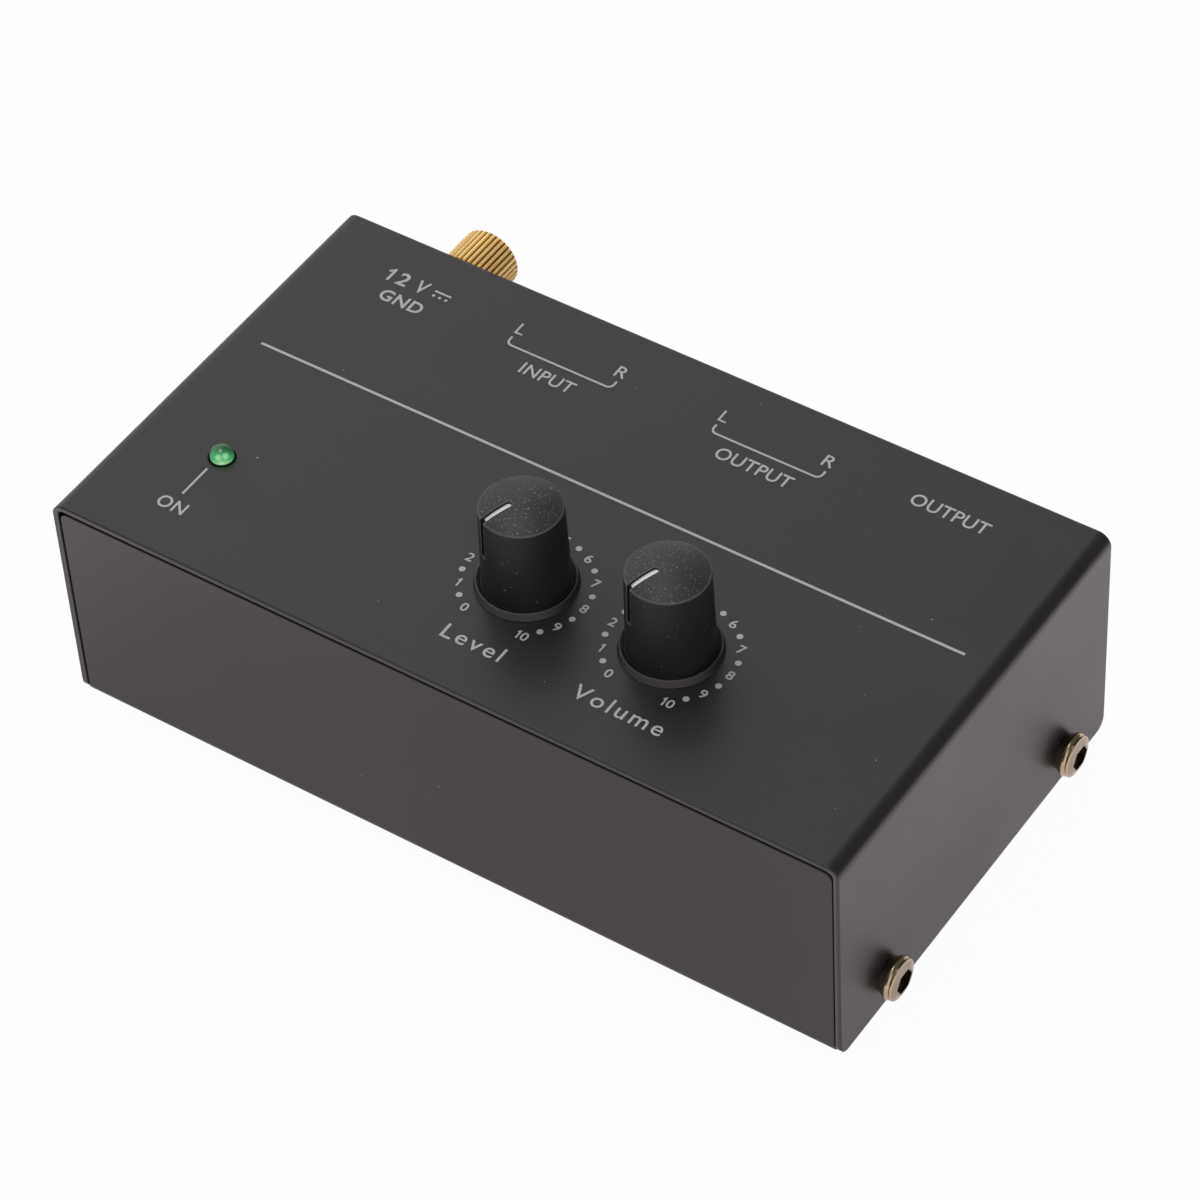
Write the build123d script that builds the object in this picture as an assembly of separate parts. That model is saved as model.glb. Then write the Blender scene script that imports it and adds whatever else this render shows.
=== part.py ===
from build123d import *
import math
import os

# A desk-top phono preamp: a folded steel case with two dials and a lamp on top
# and its sockets along the back. Millimetres, +Z up, front towards -Y, feet on
# Z = 0. The origin is the middle of the footprint, with the sockets counted in.

# ---- case ----
case_width = 134.0
case_depth = 73.4
case_height = 39.7  # from the tray's underside to the cover's top face
sheet = 0.9
seam = 0.3  # gap at each side between the cover and the tray inside it
top_seam = 0.6  # gap between the cover's top and the tray's end panels
cover_bend = 1.25  # inside radius of the cover's two bends
tray_bend = 0.5  # inside radius of the tray's bends
cover_corner = 2.0  # the sides' lower corners
panel_corner = 1.5
panel_recess = 0.1  # the tray's end panels sit this far inside the cover's edges
ear_height = 10.0
ear_end_gap = 4.0  # from each end panel to the ears

# ---- feet ----
foot_height = 2.0
foot_r = 5.0
foot_inset = 10.0
foot_bevel = 0.6

# ---- side screws and their nuts ----
screw_setback = 12.2  # from the case's front and rear faces
screw_level = 5.8  # above the tray's underside
screw_r = 2.0
screw_length = 6.0
screw_neck_r = 2.8  # where the head meets the case
screw_neck_height = 0.9
screw_waist_r = 3.15  # on both sides of the head's beads
screw_bead_height = 1.2
screw_bead_bulge = 0.3
screw_rim_height = 0.4
screw_rim_bulge = 0.15
screw_face_r = 2.1  # flat ring round the socket
screw_face_rise = 0.4  # from the rim up to the ring
socket_width = 3.5  # across flats
socket_depth = 1.6
clinch_nut_r = 3.3
clinch_nut_length = 3.0

# ---- dials ----
level_x = 1.1
volume_x = 25.55
dial_setback = 22.6
dial_start = -150.0  # pointer direction at zero, clockwise from the rear
shaft_r = 3.0
shaft_flat = 4.5  # thickness across the flat
shaft_above_case = 11.0
shaft_flat_length = 9.4
knob_gap = 0.1
knob_flange_r = 7.65
knob_crest_r = 7.3  # top edge of the coned flange
knob_flange_height = 1.3
knob_flange_dish = 0.5  # how far the flange's top falls towards the body
knob_flange_edge = 0.12
knob_root_r = 6.5
knob_rim_r = 6.15
knob_height = 15.4  # rim above the cover
knob_crown = 1.5
knob_rim_edge = 0.25
knob_recess_r = 5.2
knob_recess_depth = 1.6
groove_width = 1.05
groove_depth = 0.6
groove_length_on_side = 7.0
groove_start_r = 1.35
pointer_end_r = 5.4
pointer_inset = 0.4  # the pointer's face below the knob's

# ---- potentiometers ----
pot_width = 9.8
pot_depth = 11.4
pot_height = 6.8
pot_edge = 0.6
pot_bushing_r = 3.5
pot_bushing_height = 5.0
pot_shaft_depth = 4.5  # how far the shaft reaches into the case

# ---- lamp ----
lamp_from_side = 15.7
lamp_setback = 20.45
lens_r = 1.8
lens_height = 5.3
lens_straight_above_case = 0.35
lead_width = 0.5
lead_pitch = 1.8
lead_tail = 1.2

# ---- circuit board ----
standoff_height = 8.0
standoff_width = 5.5
standoff_foot_r = 2.1
board_thickness = 1.6
board_side_gap = 7.0  # from the case's outside
board_front_gap = 5.0
board_rear_gap = 2.2
board_corner = 1.5
board_hole_inset = 3.6
board_rear_hole_setback = 9.0
board_screw_r = 1.5
board_screw_length = 6.0
board_screw_head_r = 2.8
board_screw_head_height = 1.9
cross_width = 0.8
cross_length = 3.0

# ---- phono sockets ----
socket_pitch = 18.03
first_socket_x = -29.25
socket_count = 4
phono_height = 7.0  # axis above the board
phono_body_width = 10.4
phono_body_depth = 12.0
phono_body_above = 5.6  # body top above the axis
phono_nose_r = 4.9
phono_reach = 9.6  # from the rear panel
sleeve_r = 4.15
sleeve_wall = 0.5
sleeve_root = 2.5
sleeve_shoulder = 0.25  # step that holds the sleeve in its body
insulator_setback = 0.8
insulator_bevel = 0.6
contact_bore_r = 1.65
contact_wall = 0.3
contact_length = 8.4
contact_setback = 0.6  # behind the insulator's face
contact_slot = 0.4
contact_slot_length = 4.0

# ---- 6.35 mm stereo socket ----
stereo_from_side = 21.5
stereo_height = 8.2
stereo_width = 15.8
stereo_depth = 25.0
stereo_above = 7.8
stereo_bore_r = 3.25
stereo_cavity_r = 3.5
stereo_cavity_length = 22.0
bushing_r = 4.75
bushing_reach = 6.0
bushing_root = 3.0
bushing_bore_length = 5.9  # from the mouth; the rest is as wide as the body's cavity
bushing_bevel = 0.4
stereo_nut_width = 13.0
stereo_nut_thickness = 2.2
stereo_washer_r = 7.2
stereo_washer_thickness = 0.6
spring_thickness = 0.4
spring_width = 3.0
spring_window_start = 6.0
spring_window_length = 13.0

# ---- power socket ----
power_from_side = 19.1
power_height = 6.4
power_width = 9.0
power_depth = 14.0
power_above = 4.6
power_nose_r = 4.4
power_bore_r = 3.1
power_bore_depth = 9.5
power_pin_r = 1.0
power_pin_setback = 1.2
power_spring_width = 2.4
power_spring_depth = 0.7

# ---- ground terminal ----
ground_drop = 8.5  # below the case's top
ground_stud_r = 1.95
stud_head_width = 7.0
stud_head_height = 2.0
lug_thickness = 0.6
lug_r = 4.0
lug_tail_width = 3.0
lug_tail_length = 9.0  # from the stud's axis, towards the case's side
fixed_nut_width = 7.0
fixed_nut_thickness = 2.2
ground_washer_r = 4.5
ground_washer_thickness = 0.8
thumb_nut_r = 5.0
thumb_nut_length = 7.8
thumb_nut_teeth = 36
knurl_depth = 0.45
stud_setback = 0.6  # stud end inside the thumb nut's end face
wire_r = 0.7
wire_bend = 2.5
wire_landing = 3.0  # from the rear panel to the wire's place on the board

# ---- parts on the board, in rows across it ----
socket_row_gap = 5.0  # between the phono sockets and the row in front of them
row_gap = 1.5  # between the rows in front of that one
op_amp_count = 2
op_amp_first_x = -15.0
op_amp_pitch = 25.0
chip_width = 6.4
chip_length = 9.6
chip_height = 3.4
chip_leg_width = 0.5
chip_leg_pitch = 2.54
chip_leg_row = 7.62
chip_leg_count = 4  # on each side
electrolytic_count = 3
electrolytic_first_x = -38.0
electrolytic_pitch = 10.0
electrolytic_setback = 14.0
electrolytic_r = 4.0
electrolytic_height = 11.5
electrolytic_groove = 0.35
film_count = 4
film_first_x = -24.0
film_pitch = 16.0
film_length = 7.2
film_width = 3.0
film_height = 7.0
resistor_r = 1.15
resistor_length = 6.3
resistor_count = 5
resistor_first_x = -30.0
resistor_pitch = 4.0
resistor_lead_r = 0.3
resistor_lift = 0.3
resistor_lead_reach = 5.45  # from the middle to each bent lead
regulator_setback = 40.0
regulator_width = 10.0
regulator_thickness = 4.4
regulator_height = 9.2
regulator_tab_height = 6.2
regulator_tab_thickness = 1.3
regulator_hole_r = 1.8
regulator_leg_length = 3.0

# ---- clearances ----
running_gap = 0.05  # round things in their holes
panel_hole_gap = 0.15
shaft_hole_gap = 0.75
lens_hole_gap = 0.25
nut_hole_gap = 0.1

# ---- planes that the sizes above fix ----
ground_reach = fixed_nut_thickness + ground_washer_thickness + thumb_nut_length
rear_reach = max(ground_reach, phono_reach, bushing_reach) - panel_recess
front_y = -(case_depth + rear_reach) / 2
rear_y = front_y + case_depth
panel_y = rear_y - panel_recess  # outer face of the rear panel
behind_panel_y = panel_y - sheet
side_x = case_width / 2
lamp_x = lamp_from_side - side_x
power_x = power_from_side - side_x
stereo_x = side_x - stereo_from_side
bottom_z = foot_height
floor_z = bottom_z + sheet
top_z = bottom_z + case_height
tray_side_x = side_x - sheet - seam
ear_inside_x = tray_side_x - sheet
panel_top_z = top_z - sheet - top_seam
board_z = floor_z + standoff_height
board_top_z = board_z + board_thickness
dial_y = front_y + dial_setback
lamp_y = front_y + lamp_setback
screw_z = bottom_z + screw_level
screw_ys = (front_y + screw_setback, rear_y - screw_setback)
ground_z = top_z - ground_drop
lug_eye_x = lug_tail_width / 2 - lug_tail_length  # from the stud's axis
phono_xs = [first_socket_x + n * socket_pitch for n in range(socket_count)]
phono_z = board_top_z + phono_height
stereo_z = board_top_z + stereo_height
power_z = board_top_z + power_height
film_y = behind_panel_y - phono_body_depth - socket_row_gap - film_width / 2
op_amp_y = film_y - film_width / 2 - row_gap - chip_length / 2
resistor_y = op_amp_y - chip_length / 2 - row_gap - resistor_lead_reach
electrolytic_y = front_y + electrolytic_setback
board_hole_x = side_x - board_side_gap - board_hole_inset
board_hole_ys = (
    front_y + board_front_gap + board_hole_inset,
    rear_y - board_rear_hole_setback,
)

os.makedirs("parts", exist_ok=True)


# ---- small helpers ----
def save(name, solids):
    """Write one sub-part, made of one solid or of several alike."""
    shape = solids[0] if len(solids) == 1 else Compound(children=solids)
    export_step(shape, f"parts/{name}.step")


def along_x(profile, start, length):
    """Extrude a profile drawn in Y and Z from x = start towards +X."""
    return extrude(Plane.YZ.offset(start) * profile, amount=length)


def along_y(profile, start, length):
    """Extrude a profile drawn in X and Z from y = start towards +Y."""
    return extrude(Plane.XZ.offset(-start) * profile, amount=-length)


def along_z(profile, start, length):
    """Extrude a profile drawn in X and Y from z = start upwards."""
    return extrude(Plane.XY.offset(start) * profile, amount=length)


def block(x_range, y_range, z_range):
    """A box between two limits on each axis."""
    width = x_range[1] - x_range[0]
    depth = y_range[1] - y_range[0]
    height = z_range[1] - z_range[0]
    corner = (Align.MIN, Align.MIN, Align.MIN)
    return Pos(x_range[0], y_range[0], z_range[0]) * Box(width, depth, height, align=corner)


def centred_block(x, width, y_range, z_range):
    """A box centred on x."""
    return block((x - width / 2, x + width / 2), y_range, z_range)


def bent_sheet(points, inside_bend):
    """Section of sheet metal folded along a middle line."""
    middle = FilletPolyline(*points, radius=inside_bend + sheet / 2)
    return trace(middle, line_width=sheet)


def hexagon(width):
    """A hexagon measured across its flats."""
    return RegularPolygon(radius=width / 2, side_count=6, major_radius=False)


def polar(radius, degrees):
    """A point on a circle, counted anticlockwise from +X."""
    return (radius * math.cos(math.radians(degrees)), radius * math.sin(math.radians(degrees)))


# ---- case ----
def top_cover():
    """Inverted channel: the top and both sides in one folded sheet."""
    wall_x = side_x - sheet / 2
    roof_z = top_z - sheet / 2
    line = [(-wall_x, bottom_z), (-wall_x, roof_z), (wall_x, roof_z), (wall_x, bottom_z)]
    cover = along_y(bent_sheet(line, cover_bend), front_y, case_depth)
    across = cover.edges().filter_by(Axis.X).filter_by(lambda edge: edge.center().Z < bottom_z + sheet)
    cover = fillet(across, cover_corner)
    for x in (level_x, volume_x):
        cover -= Pos(x, dial_y, top_z) * Cylinder(shaft_r + shaft_hole_gap, 4 * sheet)
    cover -= Pos(lamp_x, lamp_y, top_z) * Cylinder(lens_r + lens_hole_gap, 4 * sheet)
    hole = Circle(screw_r + panel_hole_gap)
    for y in screw_ys:
        cover -= along_x(Pos(y, screw_z) * hole, -case_width, 2 * case_width)
    return cover


def bottom_tray():
    """Tray: floor, front and rear panels, and two side ears for the screws."""
    front_line = front_y + panel_recess + sheet / 2
    rear_line = panel_y - sheet / 2
    base = bottom_z + sheet / 2
    line = [(front_line, panel_top_z), (front_line, base), (rear_line, base), (rear_line, panel_top_z)]
    tray = along_x(bent_sheet(line, tray_bend), -tray_side_x, 2 * tray_side_x)
    corners = tray.edges().filter_by(Axis.Y).group_by(Axis.Z)[-1]
    tray = fillet(corners, panel_corner)
    ear_y = (front_y + panel_recess + sheet + ear_end_gap, behind_panel_y - ear_end_gap)
    ear_x = tray_side_x - sheet / 2
    strip = tray_bend + 2 * sheet
    for side in (-1, 1):
        edge_x = sorted((side * (tray_side_x - strip), side * 2 * tray_side_x))
        tray -= block(edge_x, (ear_y[0] - sheet, ear_y[1] + sheet), (0, floor_z + sheet))
        ear_line = [
            (side * (tray_side_x - strip), base),
            (side * ear_x, base),
            (side * ear_x, bottom_z + ear_height),
        ]
        tray += along_y(bent_sheet(ear_line, tray_bend), ear_y[0], ear_y[1] - ear_y[0])
    for y in screw_ys:
        hole = Circle(screw_r + panel_hole_gap)
        tray -= along_x(Pos(y, screw_z) * hole, -case_width, 2 * case_width)
    openings = [(x, phono_z, phono_nose_r + panel_hole_gap) for x in phono_xs]
    openings.append((stereo_x, stereo_z, bushing_r + panel_hole_gap))
    openings.append((power_x, power_z, power_nose_r + panel_hole_gap))
    openings.append((power_x, ground_z, ground_stud_r + panel_hole_gap))
    for x, z, radius in openings:
        tray -= along_y(Pos(x, z) * Circle(radius), panel_y - 2 * sheet, 4 * sheet)
    for x, y in board_holes():
        tray -= Pos(x, y, bottom_z) * Cylinder(standoff_foot_r + running_gap, 4 * sheet)
    return tray


def board_holes():
    """The four places where the board is screwed down."""
    return [(x, y) for x in (-board_hole_x, board_hole_x) for y in board_hole_ys]


def rubber_feet():
    """Four stick-on feet with a bevelled edge."""
    foot = along_z(Circle(foot_r), 0, foot_height)
    foot = chamfer(foot.edges().group_by(Axis.Z)[0], foot_bevel)
    foot_x = side_x - foot_inset
    foot_ys = (front_y + foot_inset, rear_y - foot_inset)
    return [Pos(x, y, 0) * foot for x in (-foot_x, foot_x) for y in foot_ys]


# ---- side screws ----
def side_screw():
    """Round head with a bead and a rim, a coned face and a hex socket, along +X."""
    bead_start = screw_neck_height
    rim_start = bead_start + screw_bead_height
    rim_end = rim_start + screw_rim_height
    top = rim_end + screw_face_rise
    bead_middle = (bead_start + screw_bead_height / 2, screw_waist_r + screw_bead_bulge)
    rim_middle = (rim_start + screw_rim_height / 2, screw_waist_r + screw_rim_bulge)
    outline = Polyline((top, 0), (0, 0), (0, screw_neck_r), (bead_start, screw_waist_r))
    outline += ThreePointArc((bead_start, screw_waist_r), bead_middle, (rim_start, screw_waist_r))
    outline += ThreePointArc((rim_start, screw_waist_r), rim_middle, (rim_end, screw_waist_r))
    outline += Polyline((rim_end, screw_waist_r), (top, screw_face_r), (top, 0))
    head = revolve(make_face(Plane.XY * outline), Axis.X)
    head -= along_x(hexagon(socket_width), top - socket_depth, 2 * socket_depth)
    return head + along_x(Circle(screw_r), -screw_length, screw_length)


def side_places(shape):
    """Copies of a shape made for the right side, at all four screws."""
    right = [Pos(0, y, screw_z) * shape for y in screw_ys]
    return right + [mirror(piece, about=Plane.YZ) for piece in right]


def clinch_nut():
    """Round nut pressed against the inside of an ear."""
    ring = Circle(clinch_nut_r) - Circle(screw_r + running_gap)
    return along_x(ring, ear_inside_x - clinch_nut_length, clinch_nut_length)


# ---- dials ----
def knob_form(shrink):
    """Knob without its groove, with its top and sides moved in by a given amount."""
    base = top_z + knob_gap
    rim_z = top_z + knob_height - shrink
    rim_r = knob_rim_r - shrink
    crown_r = (rim_r**2 + knob_crown**2) / (2 * knob_crown)
    middle_r = rim_r / 2
    middle_z = rim_z + knob_crown - crown_r + math.sqrt(crown_r**2 - middle_r**2)
    crest_z = base + knob_flange_height
    sides = Polyline(
        (0, base),
        (knob_flange_r, base),
        (knob_crest_r, crest_z),
        (knob_root_r - shrink, crest_z - knob_flange_dish),
        (rim_r, rim_z),
    )
    dome = ThreePointArc((rim_r, rim_z), (middle_r, middle_z), (0, rim_z + knob_crown))
    half = make_face(Plane.XZ * (sides + dome + Line((0, rim_z + knob_crown), (0, base))))
    form = revolve(half, Axis.Z)
    crest = form.edges().filter_by_position(Axis.Z, crest_z - running_gap, crest_z + running_gap)
    form = fillet(crest, knob_flange_edge)
    top_rim = form.edges().filter_by_position(Axis.Z, rim_z - running_gap, rim_z + running_gap)
    return fillet(top_rim, knob_rim_edge)


def shaft_section(gap):
    """Round shaft with one flat, with a gap all round."""
    flat_y = shaft_flat - shaft_r + gap
    reach = 2 * shaft_r
    cutter = Pos(0, flat_y) * Rectangle(2 * reach, reach, align=(Align.CENTER, Align.MIN))
    return Circle(shaft_r + gap) - cutter


def pointer_strip(width, low, high):
    """Upright strip from near the axis out past the rim, along +Y, with a round inner end."""
    end_y = groove_start_r + groove_width / 2
    strip = centred_block(0, width, (end_y, 2 * knob_rim_r), (low, high))
    return strip + along_z(Pos(0, end_y) * Circle(width / 2), low, high - low)


def knob():
    """Dial knob on the Z axis with its groove towards +Y."""
    core = knob_form(groove_depth)
    low = top_z + knob_height - groove_length_on_side
    high = top_z + knob_height + 2 * knob_crown
    body = knob_form(0) - (pointer_strip(groove_width, low, high) - core)
    base = top_z + knob_gap
    body -= along_z(Circle(knob_recess_r), base, knob_recess_depth)
    shaft_top = top_z + shaft_above_case
    return body - along_z(shaft_section(running_gap), base, shaft_top - base)


def pointer():
    """White line laid in the groove on the knob's top."""
    low = top_z + knob_height - 2 * groove_depth
    high = top_z + knob_height + 2 * knob_crown
    strip = pointer_strip(groove_width - 2 * running_gap, low, high)
    reach = along_z(Circle(pointer_end_r), low, high - low)
    return (strip & reach & knob_form(pointer_inset)) - knob_form(groove_depth)


def pot_shaft():
    """D-shaft: round in the bushing, flatted where the knob grips it."""
    foot_z = board_top_z + pot_height - pot_shaft_depth
    top = top_z + shaft_above_case
    flat_start = top - shaft_flat_length
    round_part = along_z(Circle(shaft_r), foot_z, flat_start - foot_z)
    return round_part + along_z(shaft_section(0), flat_start, shaft_flat_length)


def pot_case():
    """Potentiometer: square body, threaded collar and the bore for its shaft."""
    half_depth = pot_depth / 2
    top = board_top_z + pot_height
    body = centred_block(0, pot_width, (-half_depth, half_depth), (board_top_z, top))
    body = chamfer(body.edges().filter_by(Axis.Z), pot_edge)
    body += along_z(Circle(pot_bushing_r), top, pot_bushing_height)
    bore_depth = pot_shaft_depth + pot_bushing_height
    return body - along_z(Circle(shaft_r + running_gap), top - pot_shaft_depth, bore_depth)


def save_dial(name, x):
    """Write the four sub-parts of one dial, with its pointer at zero."""
    place = Pos(x, dial_y, 0) * Rot(0, 0, -dial_start)
    save(f"{name}_pot_case", [Pos(x, dial_y, 0) * pot_case()])
    save(f"{name}_pot_shaft", [place * pot_shaft()])
    save(f"{name}_knob", [place * knob()])
    save(f"{name}_pointer", [place * pointer()])


# ---- lamp ----
def lamp_lens():
    """Round lamp with a domed end, standing through the cover."""
    dome_z = top_z + lens_straight_above_case
    base_z = dome_z + lens_r - lens_height
    lens = along_z(Circle(lens_r), base_z, dome_z - base_z)
    dome = Pos(0, 0, dome_z) * Sphere(lens_r)
    lens = lens + (dome & along_z(Circle(2 * lens_r), dome_z, 2 * lens_r))
    return Pos(lamp_x, lamp_y, 0) * lens


def lamp_base_z():
    """Underside of the lamp, where its spacer ends."""
    return top_z + lens_straight_above_case + lens_r - lens_height


def lamp_leads(width, low, high):
    """The lamp's two square leads."""
    places = [lamp_x - lead_pitch / 2, lamp_x + lead_pitch / 2]
    y_range = (lamp_y - width / 2, lamp_y + width / 2)
    return [centred_block(x, width, y_range, (low, high)) for x in places]


def lamp_spacer():
    """Tube that holds the lamp at its height above the board."""
    spacer = Pos(lamp_x, lamp_y) * Circle(lens_r)
    spacer = along_z(spacer, board_top_z, lamp_base_z() - board_top_z)
    for lead in lamp_leads(lead_width + 2 * running_gap, board_z, top_z):
        spacer -= lead
    return spacer


# ---- circuit board ----
def circuit_board():
    """Main board with its screw holes and the lamp's lead holes."""
    edge_x = side_x - board_side_gap
    y_range = (front_y + board_front_gap, rear_y - board_rear_gap)
    board = block((-edge_x, edge_x), y_range, (board_z, board_top_z))
    board = fillet(board.edges().filter_by(Axis.Z), board_corner)
    for x, y in board_holes():
        board -= Pos(x, y, board_z) * Cylinder(board_screw_r + panel_hole_gap, 4 * board_thickness)
    for hole in lamp_leads(lead_width + 2 * running_gap, board_z - sheet, top_z):
        board -= hole
    return board


def board_standoff():
    """Hex pillar with a round foot through the tray and a screw hole in its top."""
    pillar = along_z(hexagon(standoff_width), floor_z, standoff_height)
    pillar += along_z(Circle(standoff_foot_r), bottom_z, sheet)
    bore = along_z(Circle(board_screw_r + running_gap), floor_z, standoff_height)
    return pillar - bore


def board_screw():
    """Pan-head screw with a cross recess."""
    head = along_z(Circle(board_screw_head_r), board_top_z, board_screw_head_height)
    head = fillet(head.edges().group_by(Axis.Z)[-1], board_screw_head_height / 3)
    recess_z = board_top_z + board_screw_head_height / 2
    for width, length in ((cross_width, cross_length), (cross_length, cross_width)):
        head -= along_z(Rectangle(width, length), recess_z, board_screw_head_height)
    return head + along_z(Circle(board_screw_r), board_top_z - board_screw_length, board_screw_length)


# ---- phono sockets, made on the panel's outer face with their axis on Y ----
def ring_y(outer, inner, start, length):
    """A tube along Y."""
    return along_y(Circle(outer) - Circle(inner), start, length)


def contact_start():
    """Inner end of a phono socket's contact, from the panel's outer face."""
    return phono_reach - insulator_setback - contact_setback - contact_length


def phono_body():
    """Moulded body behind the panel, with a round nose through it."""
    rear = -sheet - phono_body_depth
    body = centred_block(0, phono_body_width, (rear, -sheet), (-phono_height, phono_body_above))
    body = chamfer(body.edges().filter_by(Axis.Y).group_by(Axis.Z)[-1], pot_edge)
    body += along_y(Circle(phono_nose_r), -sheet, sheet)
    seat = Circle(sleeve_r + sleeve_shoulder + running_gap)
    return body - along_y(seat, -sheet - sleeve_root, sleeve_root + sheet)


def phono_sleeve():
    """Ground sleeve with a rolled outer lip and a thicker root inside its body."""
    start = -sheet - sleeve_root
    inner = sleeve_r - sleeve_wall
    sleeve = ring_y(sleeve_r, inner, start, phono_reach - start)
    outer_rim = sleeve.edges().filter_by(GeomType.CIRCLE).group_by(Axis.Y)[-1].sort_by(SortBy.RADIUS)[-1]
    sleeve = fillet(outer_rim, sleeve_wall / 2)
    return sleeve + ring_y(sleeve_r + sleeve_shoulder, inner, start, -start)


def phono_insulator():
    """Coloured ring between the sleeve and the contact."""
    start = -sheet - sleeve_root
    end = phono_reach - insulator_setback
    bore = contact_bore_r + contact_wall + running_gap
    ring = ring_y(sleeve_r - sleeve_wall - running_gap, bore, start, end - start)
    mouth = ring.edges().filter_by(GeomType.CIRCLE).group_by(Axis.Y)[-1].sort_by(SortBy.RADIUS)[0]
    return chamfer(mouth, insulator_bevel)


def phono_contact():
    """Split tube that grips the plug's pin, closed at its inner end."""
    outer = contact_bore_r + contact_wall
    contact = along_y(Circle(outer), contact_start(), contact_length)
    contact -= along_y(Circle(contact_bore_r), contact_start() + contact_wall, contact_length)
    slot_start = contact_start() + contact_length - contact_slot_length
    for width, height in ((contact_slot, 4 * outer), (4 * outer, contact_slot)):
        contact -= along_y(Rectangle(width, height), slot_start, 2 * contact_slot_length)
    return contact


def save_phono_socket(name, x):
    """Write the four sub-parts of one phono socket."""
    place = Pos(x, panel_y, phono_z)
    save(f"{name}_socket_body", [place * phono_body()])
    save(f"{name}_socket_sleeve", [place * phono_sleeve()])
    save(f"{name}_socket_insulator", [place * phono_insulator()])
    save(f"{name}_socket_contact", [place * phono_contact()])


# ---- stereo socket, made like the phono sockets ----
def stereo_body():
    """Moulded body with a plug cavity and a window for each spring."""
    rear = -sheet - stereo_depth
    half = stereo_width / 2
    body = centred_block(0, stereo_width, (rear, -sheet), (-stereo_height, stereo_above))
    body = chamfer(body.edges().filter_by(Axis.Y).group_by(Axis.Z)[-1], pot_edge)
    body -= along_y(Circle(bushing_r + running_gap), -sheet - bushing_root, 2 * bushing_root)
    body -= along_y(Circle(stereo_cavity_r), -sheet - stereo_cavity_length, stereo_cavity_length)
    window_y = -sheet - spring_window_start
    tall = spring_width / 2 + running_gap
    window = (window_y - spring_window_length, window_y)
    return body - block((-2 * half, 2 * half), window, (-tall, tall))


def stereo_springs():
    """Two leaf springs, bent in towards the plug on either side."""
    half = stereo_width / 2 - spring_thickness
    near = stereo_cavity_r + spring_thickness
    start = -sheet - spring_window_start - spring_window_length
    third = spring_window_length / 3
    line = Polyline(
        (half, start),
        (half, start + third),
        (near, start + 2 * third),
        (half, start + spring_window_length - spring_thickness),
    )
    leaf = along_z(trace(line, line_width=spring_thickness), -spring_width / 2, spring_width)
    return [leaf, mirror(leaf, about=Plane.YZ)]


def stereo_bushing():
    """Threaded collar through the panel, with the plug's bore at its mouth."""
    start = -sheet - bushing_root
    bore_start = bushing_reach - bushing_bore_length
    collar = ring_y(bushing_r, stereo_bore_r, bore_start, bushing_bore_length)
    mouth = collar.edges().filter_by(GeomType.CIRCLE).group_by(Axis.Y)[-1]
    collar = chamfer(mouth, bushing_bevel)
    return collar + ring_y(bushing_r, stereo_cavity_r, start, bore_start - start)


def stereo_nut():
    """Hex nut that clamps the collar to the panel."""
    ring = hexagon(stereo_nut_width) - Circle(bushing_r + running_gap)
    return along_y(ring, stereo_washer_thickness, stereo_nut_thickness)


# ---- power socket ----
def power_body():
    """Moulded body with a round nose, the plug's bore and a slot for the spring."""
    rear = -sheet - power_depth
    body = centred_block(0, power_width, (rear, -sheet), (-power_height, power_above))
    body = chamfer(body.edges().filter_by(Axis.Y).group_by(Axis.Z)[-1], pot_edge)
    body += along_y(Circle(power_nose_r), -sheet, sheet)
    body -= along_y(Circle(power_bore_r), -power_bore_depth, 2 * power_bore_depth)
    body -= along_y(Circle(power_pin_r + running_gap), rear, power_depth)
    low = -power_bore_r - power_spring_depth
    width = power_spring_width + 2 * running_gap
    return body - centred_block(0, width, (-power_bore_depth, -sheet), (low, 0))


def power_pin():
    """Centre pin with a rounded tip."""
    start = -sheet - power_depth
    pin = along_y(Circle(power_pin_r), start, -power_pin_setback - start)
    return fillet(pin.edges().group_by(Axis.Y)[-1], power_pin_r / 2)


def power_spring():
    """Leaf that presses on the plug from below."""
    low = -power_bore_r - power_spring_depth
    length = power_bore_depth - sheet
    leaf_low = low + spring_thickness
    spring = centred_block(0, power_spring_width, (-power_bore_depth, -sheet), (low, leaf_low))
    hump = Cylinder(spring_thickness, power_spring_width, rotation=(0, 90, 0))
    return spring + Pos(0, -sheet - length / 2, leaf_low) * hump


# ---- ground terminal, made on the panel's outer face with its axis on Y ----
def ground_stud():
    """Screw from inside the case: hex head against the lug, stem out through the panel."""
    head_y = -sheet - lug_thickness - stud_head_height
    stem_end = ground_reach - stud_setback
    stud = along_y(hexagon(stud_head_width), head_y, stud_head_height)
    return stud + along_y(Circle(ground_stud_r), head_y, stem_end - head_y)


def ground_lug():
    """Solder lug between the stud's head and the panel, with its tail to one side."""
    lug = Circle(lug_r) + Pos(-lug_tail_length / 2, 0) * Rectangle(lug_tail_length, lug_tail_width)
    lug -= Circle(ground_stud_r + running_gap)
    lug -= Pos(lug_eye_x, 0) * Circle(wire_r + running_gap)
    return along_y(lug, -sheet - lug_thickness, lug_thickness)


def ground_wire():
    """Wire from the lug's eye forwards and down to the board."""
    start_y = -sheet
    forward_y = -sheet - wire_landing
    low_z = board_top_z - ground_z
    path = FilletPolyline(
        (lug_eye_x, start_y, 0), (lug_eye_x, forward_y, 0), (lug_eye_x, forward_y, low_z), radius=wire_bend
    )
    section = Plane(origin=(lug_eye_x, start_y, 0), z_dir=(0, -1, 0)) * Circle(wire_r)
    return sweep(section, path=path)


def fixed_nut():
    """Hex nut that holds the stud to the panel."""
    ring = hexagon(fixed_nut_width) - Circle(ground_stud_r + running_gap)
    return along_y(ring, 0, fixed_nut_thickness)


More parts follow.
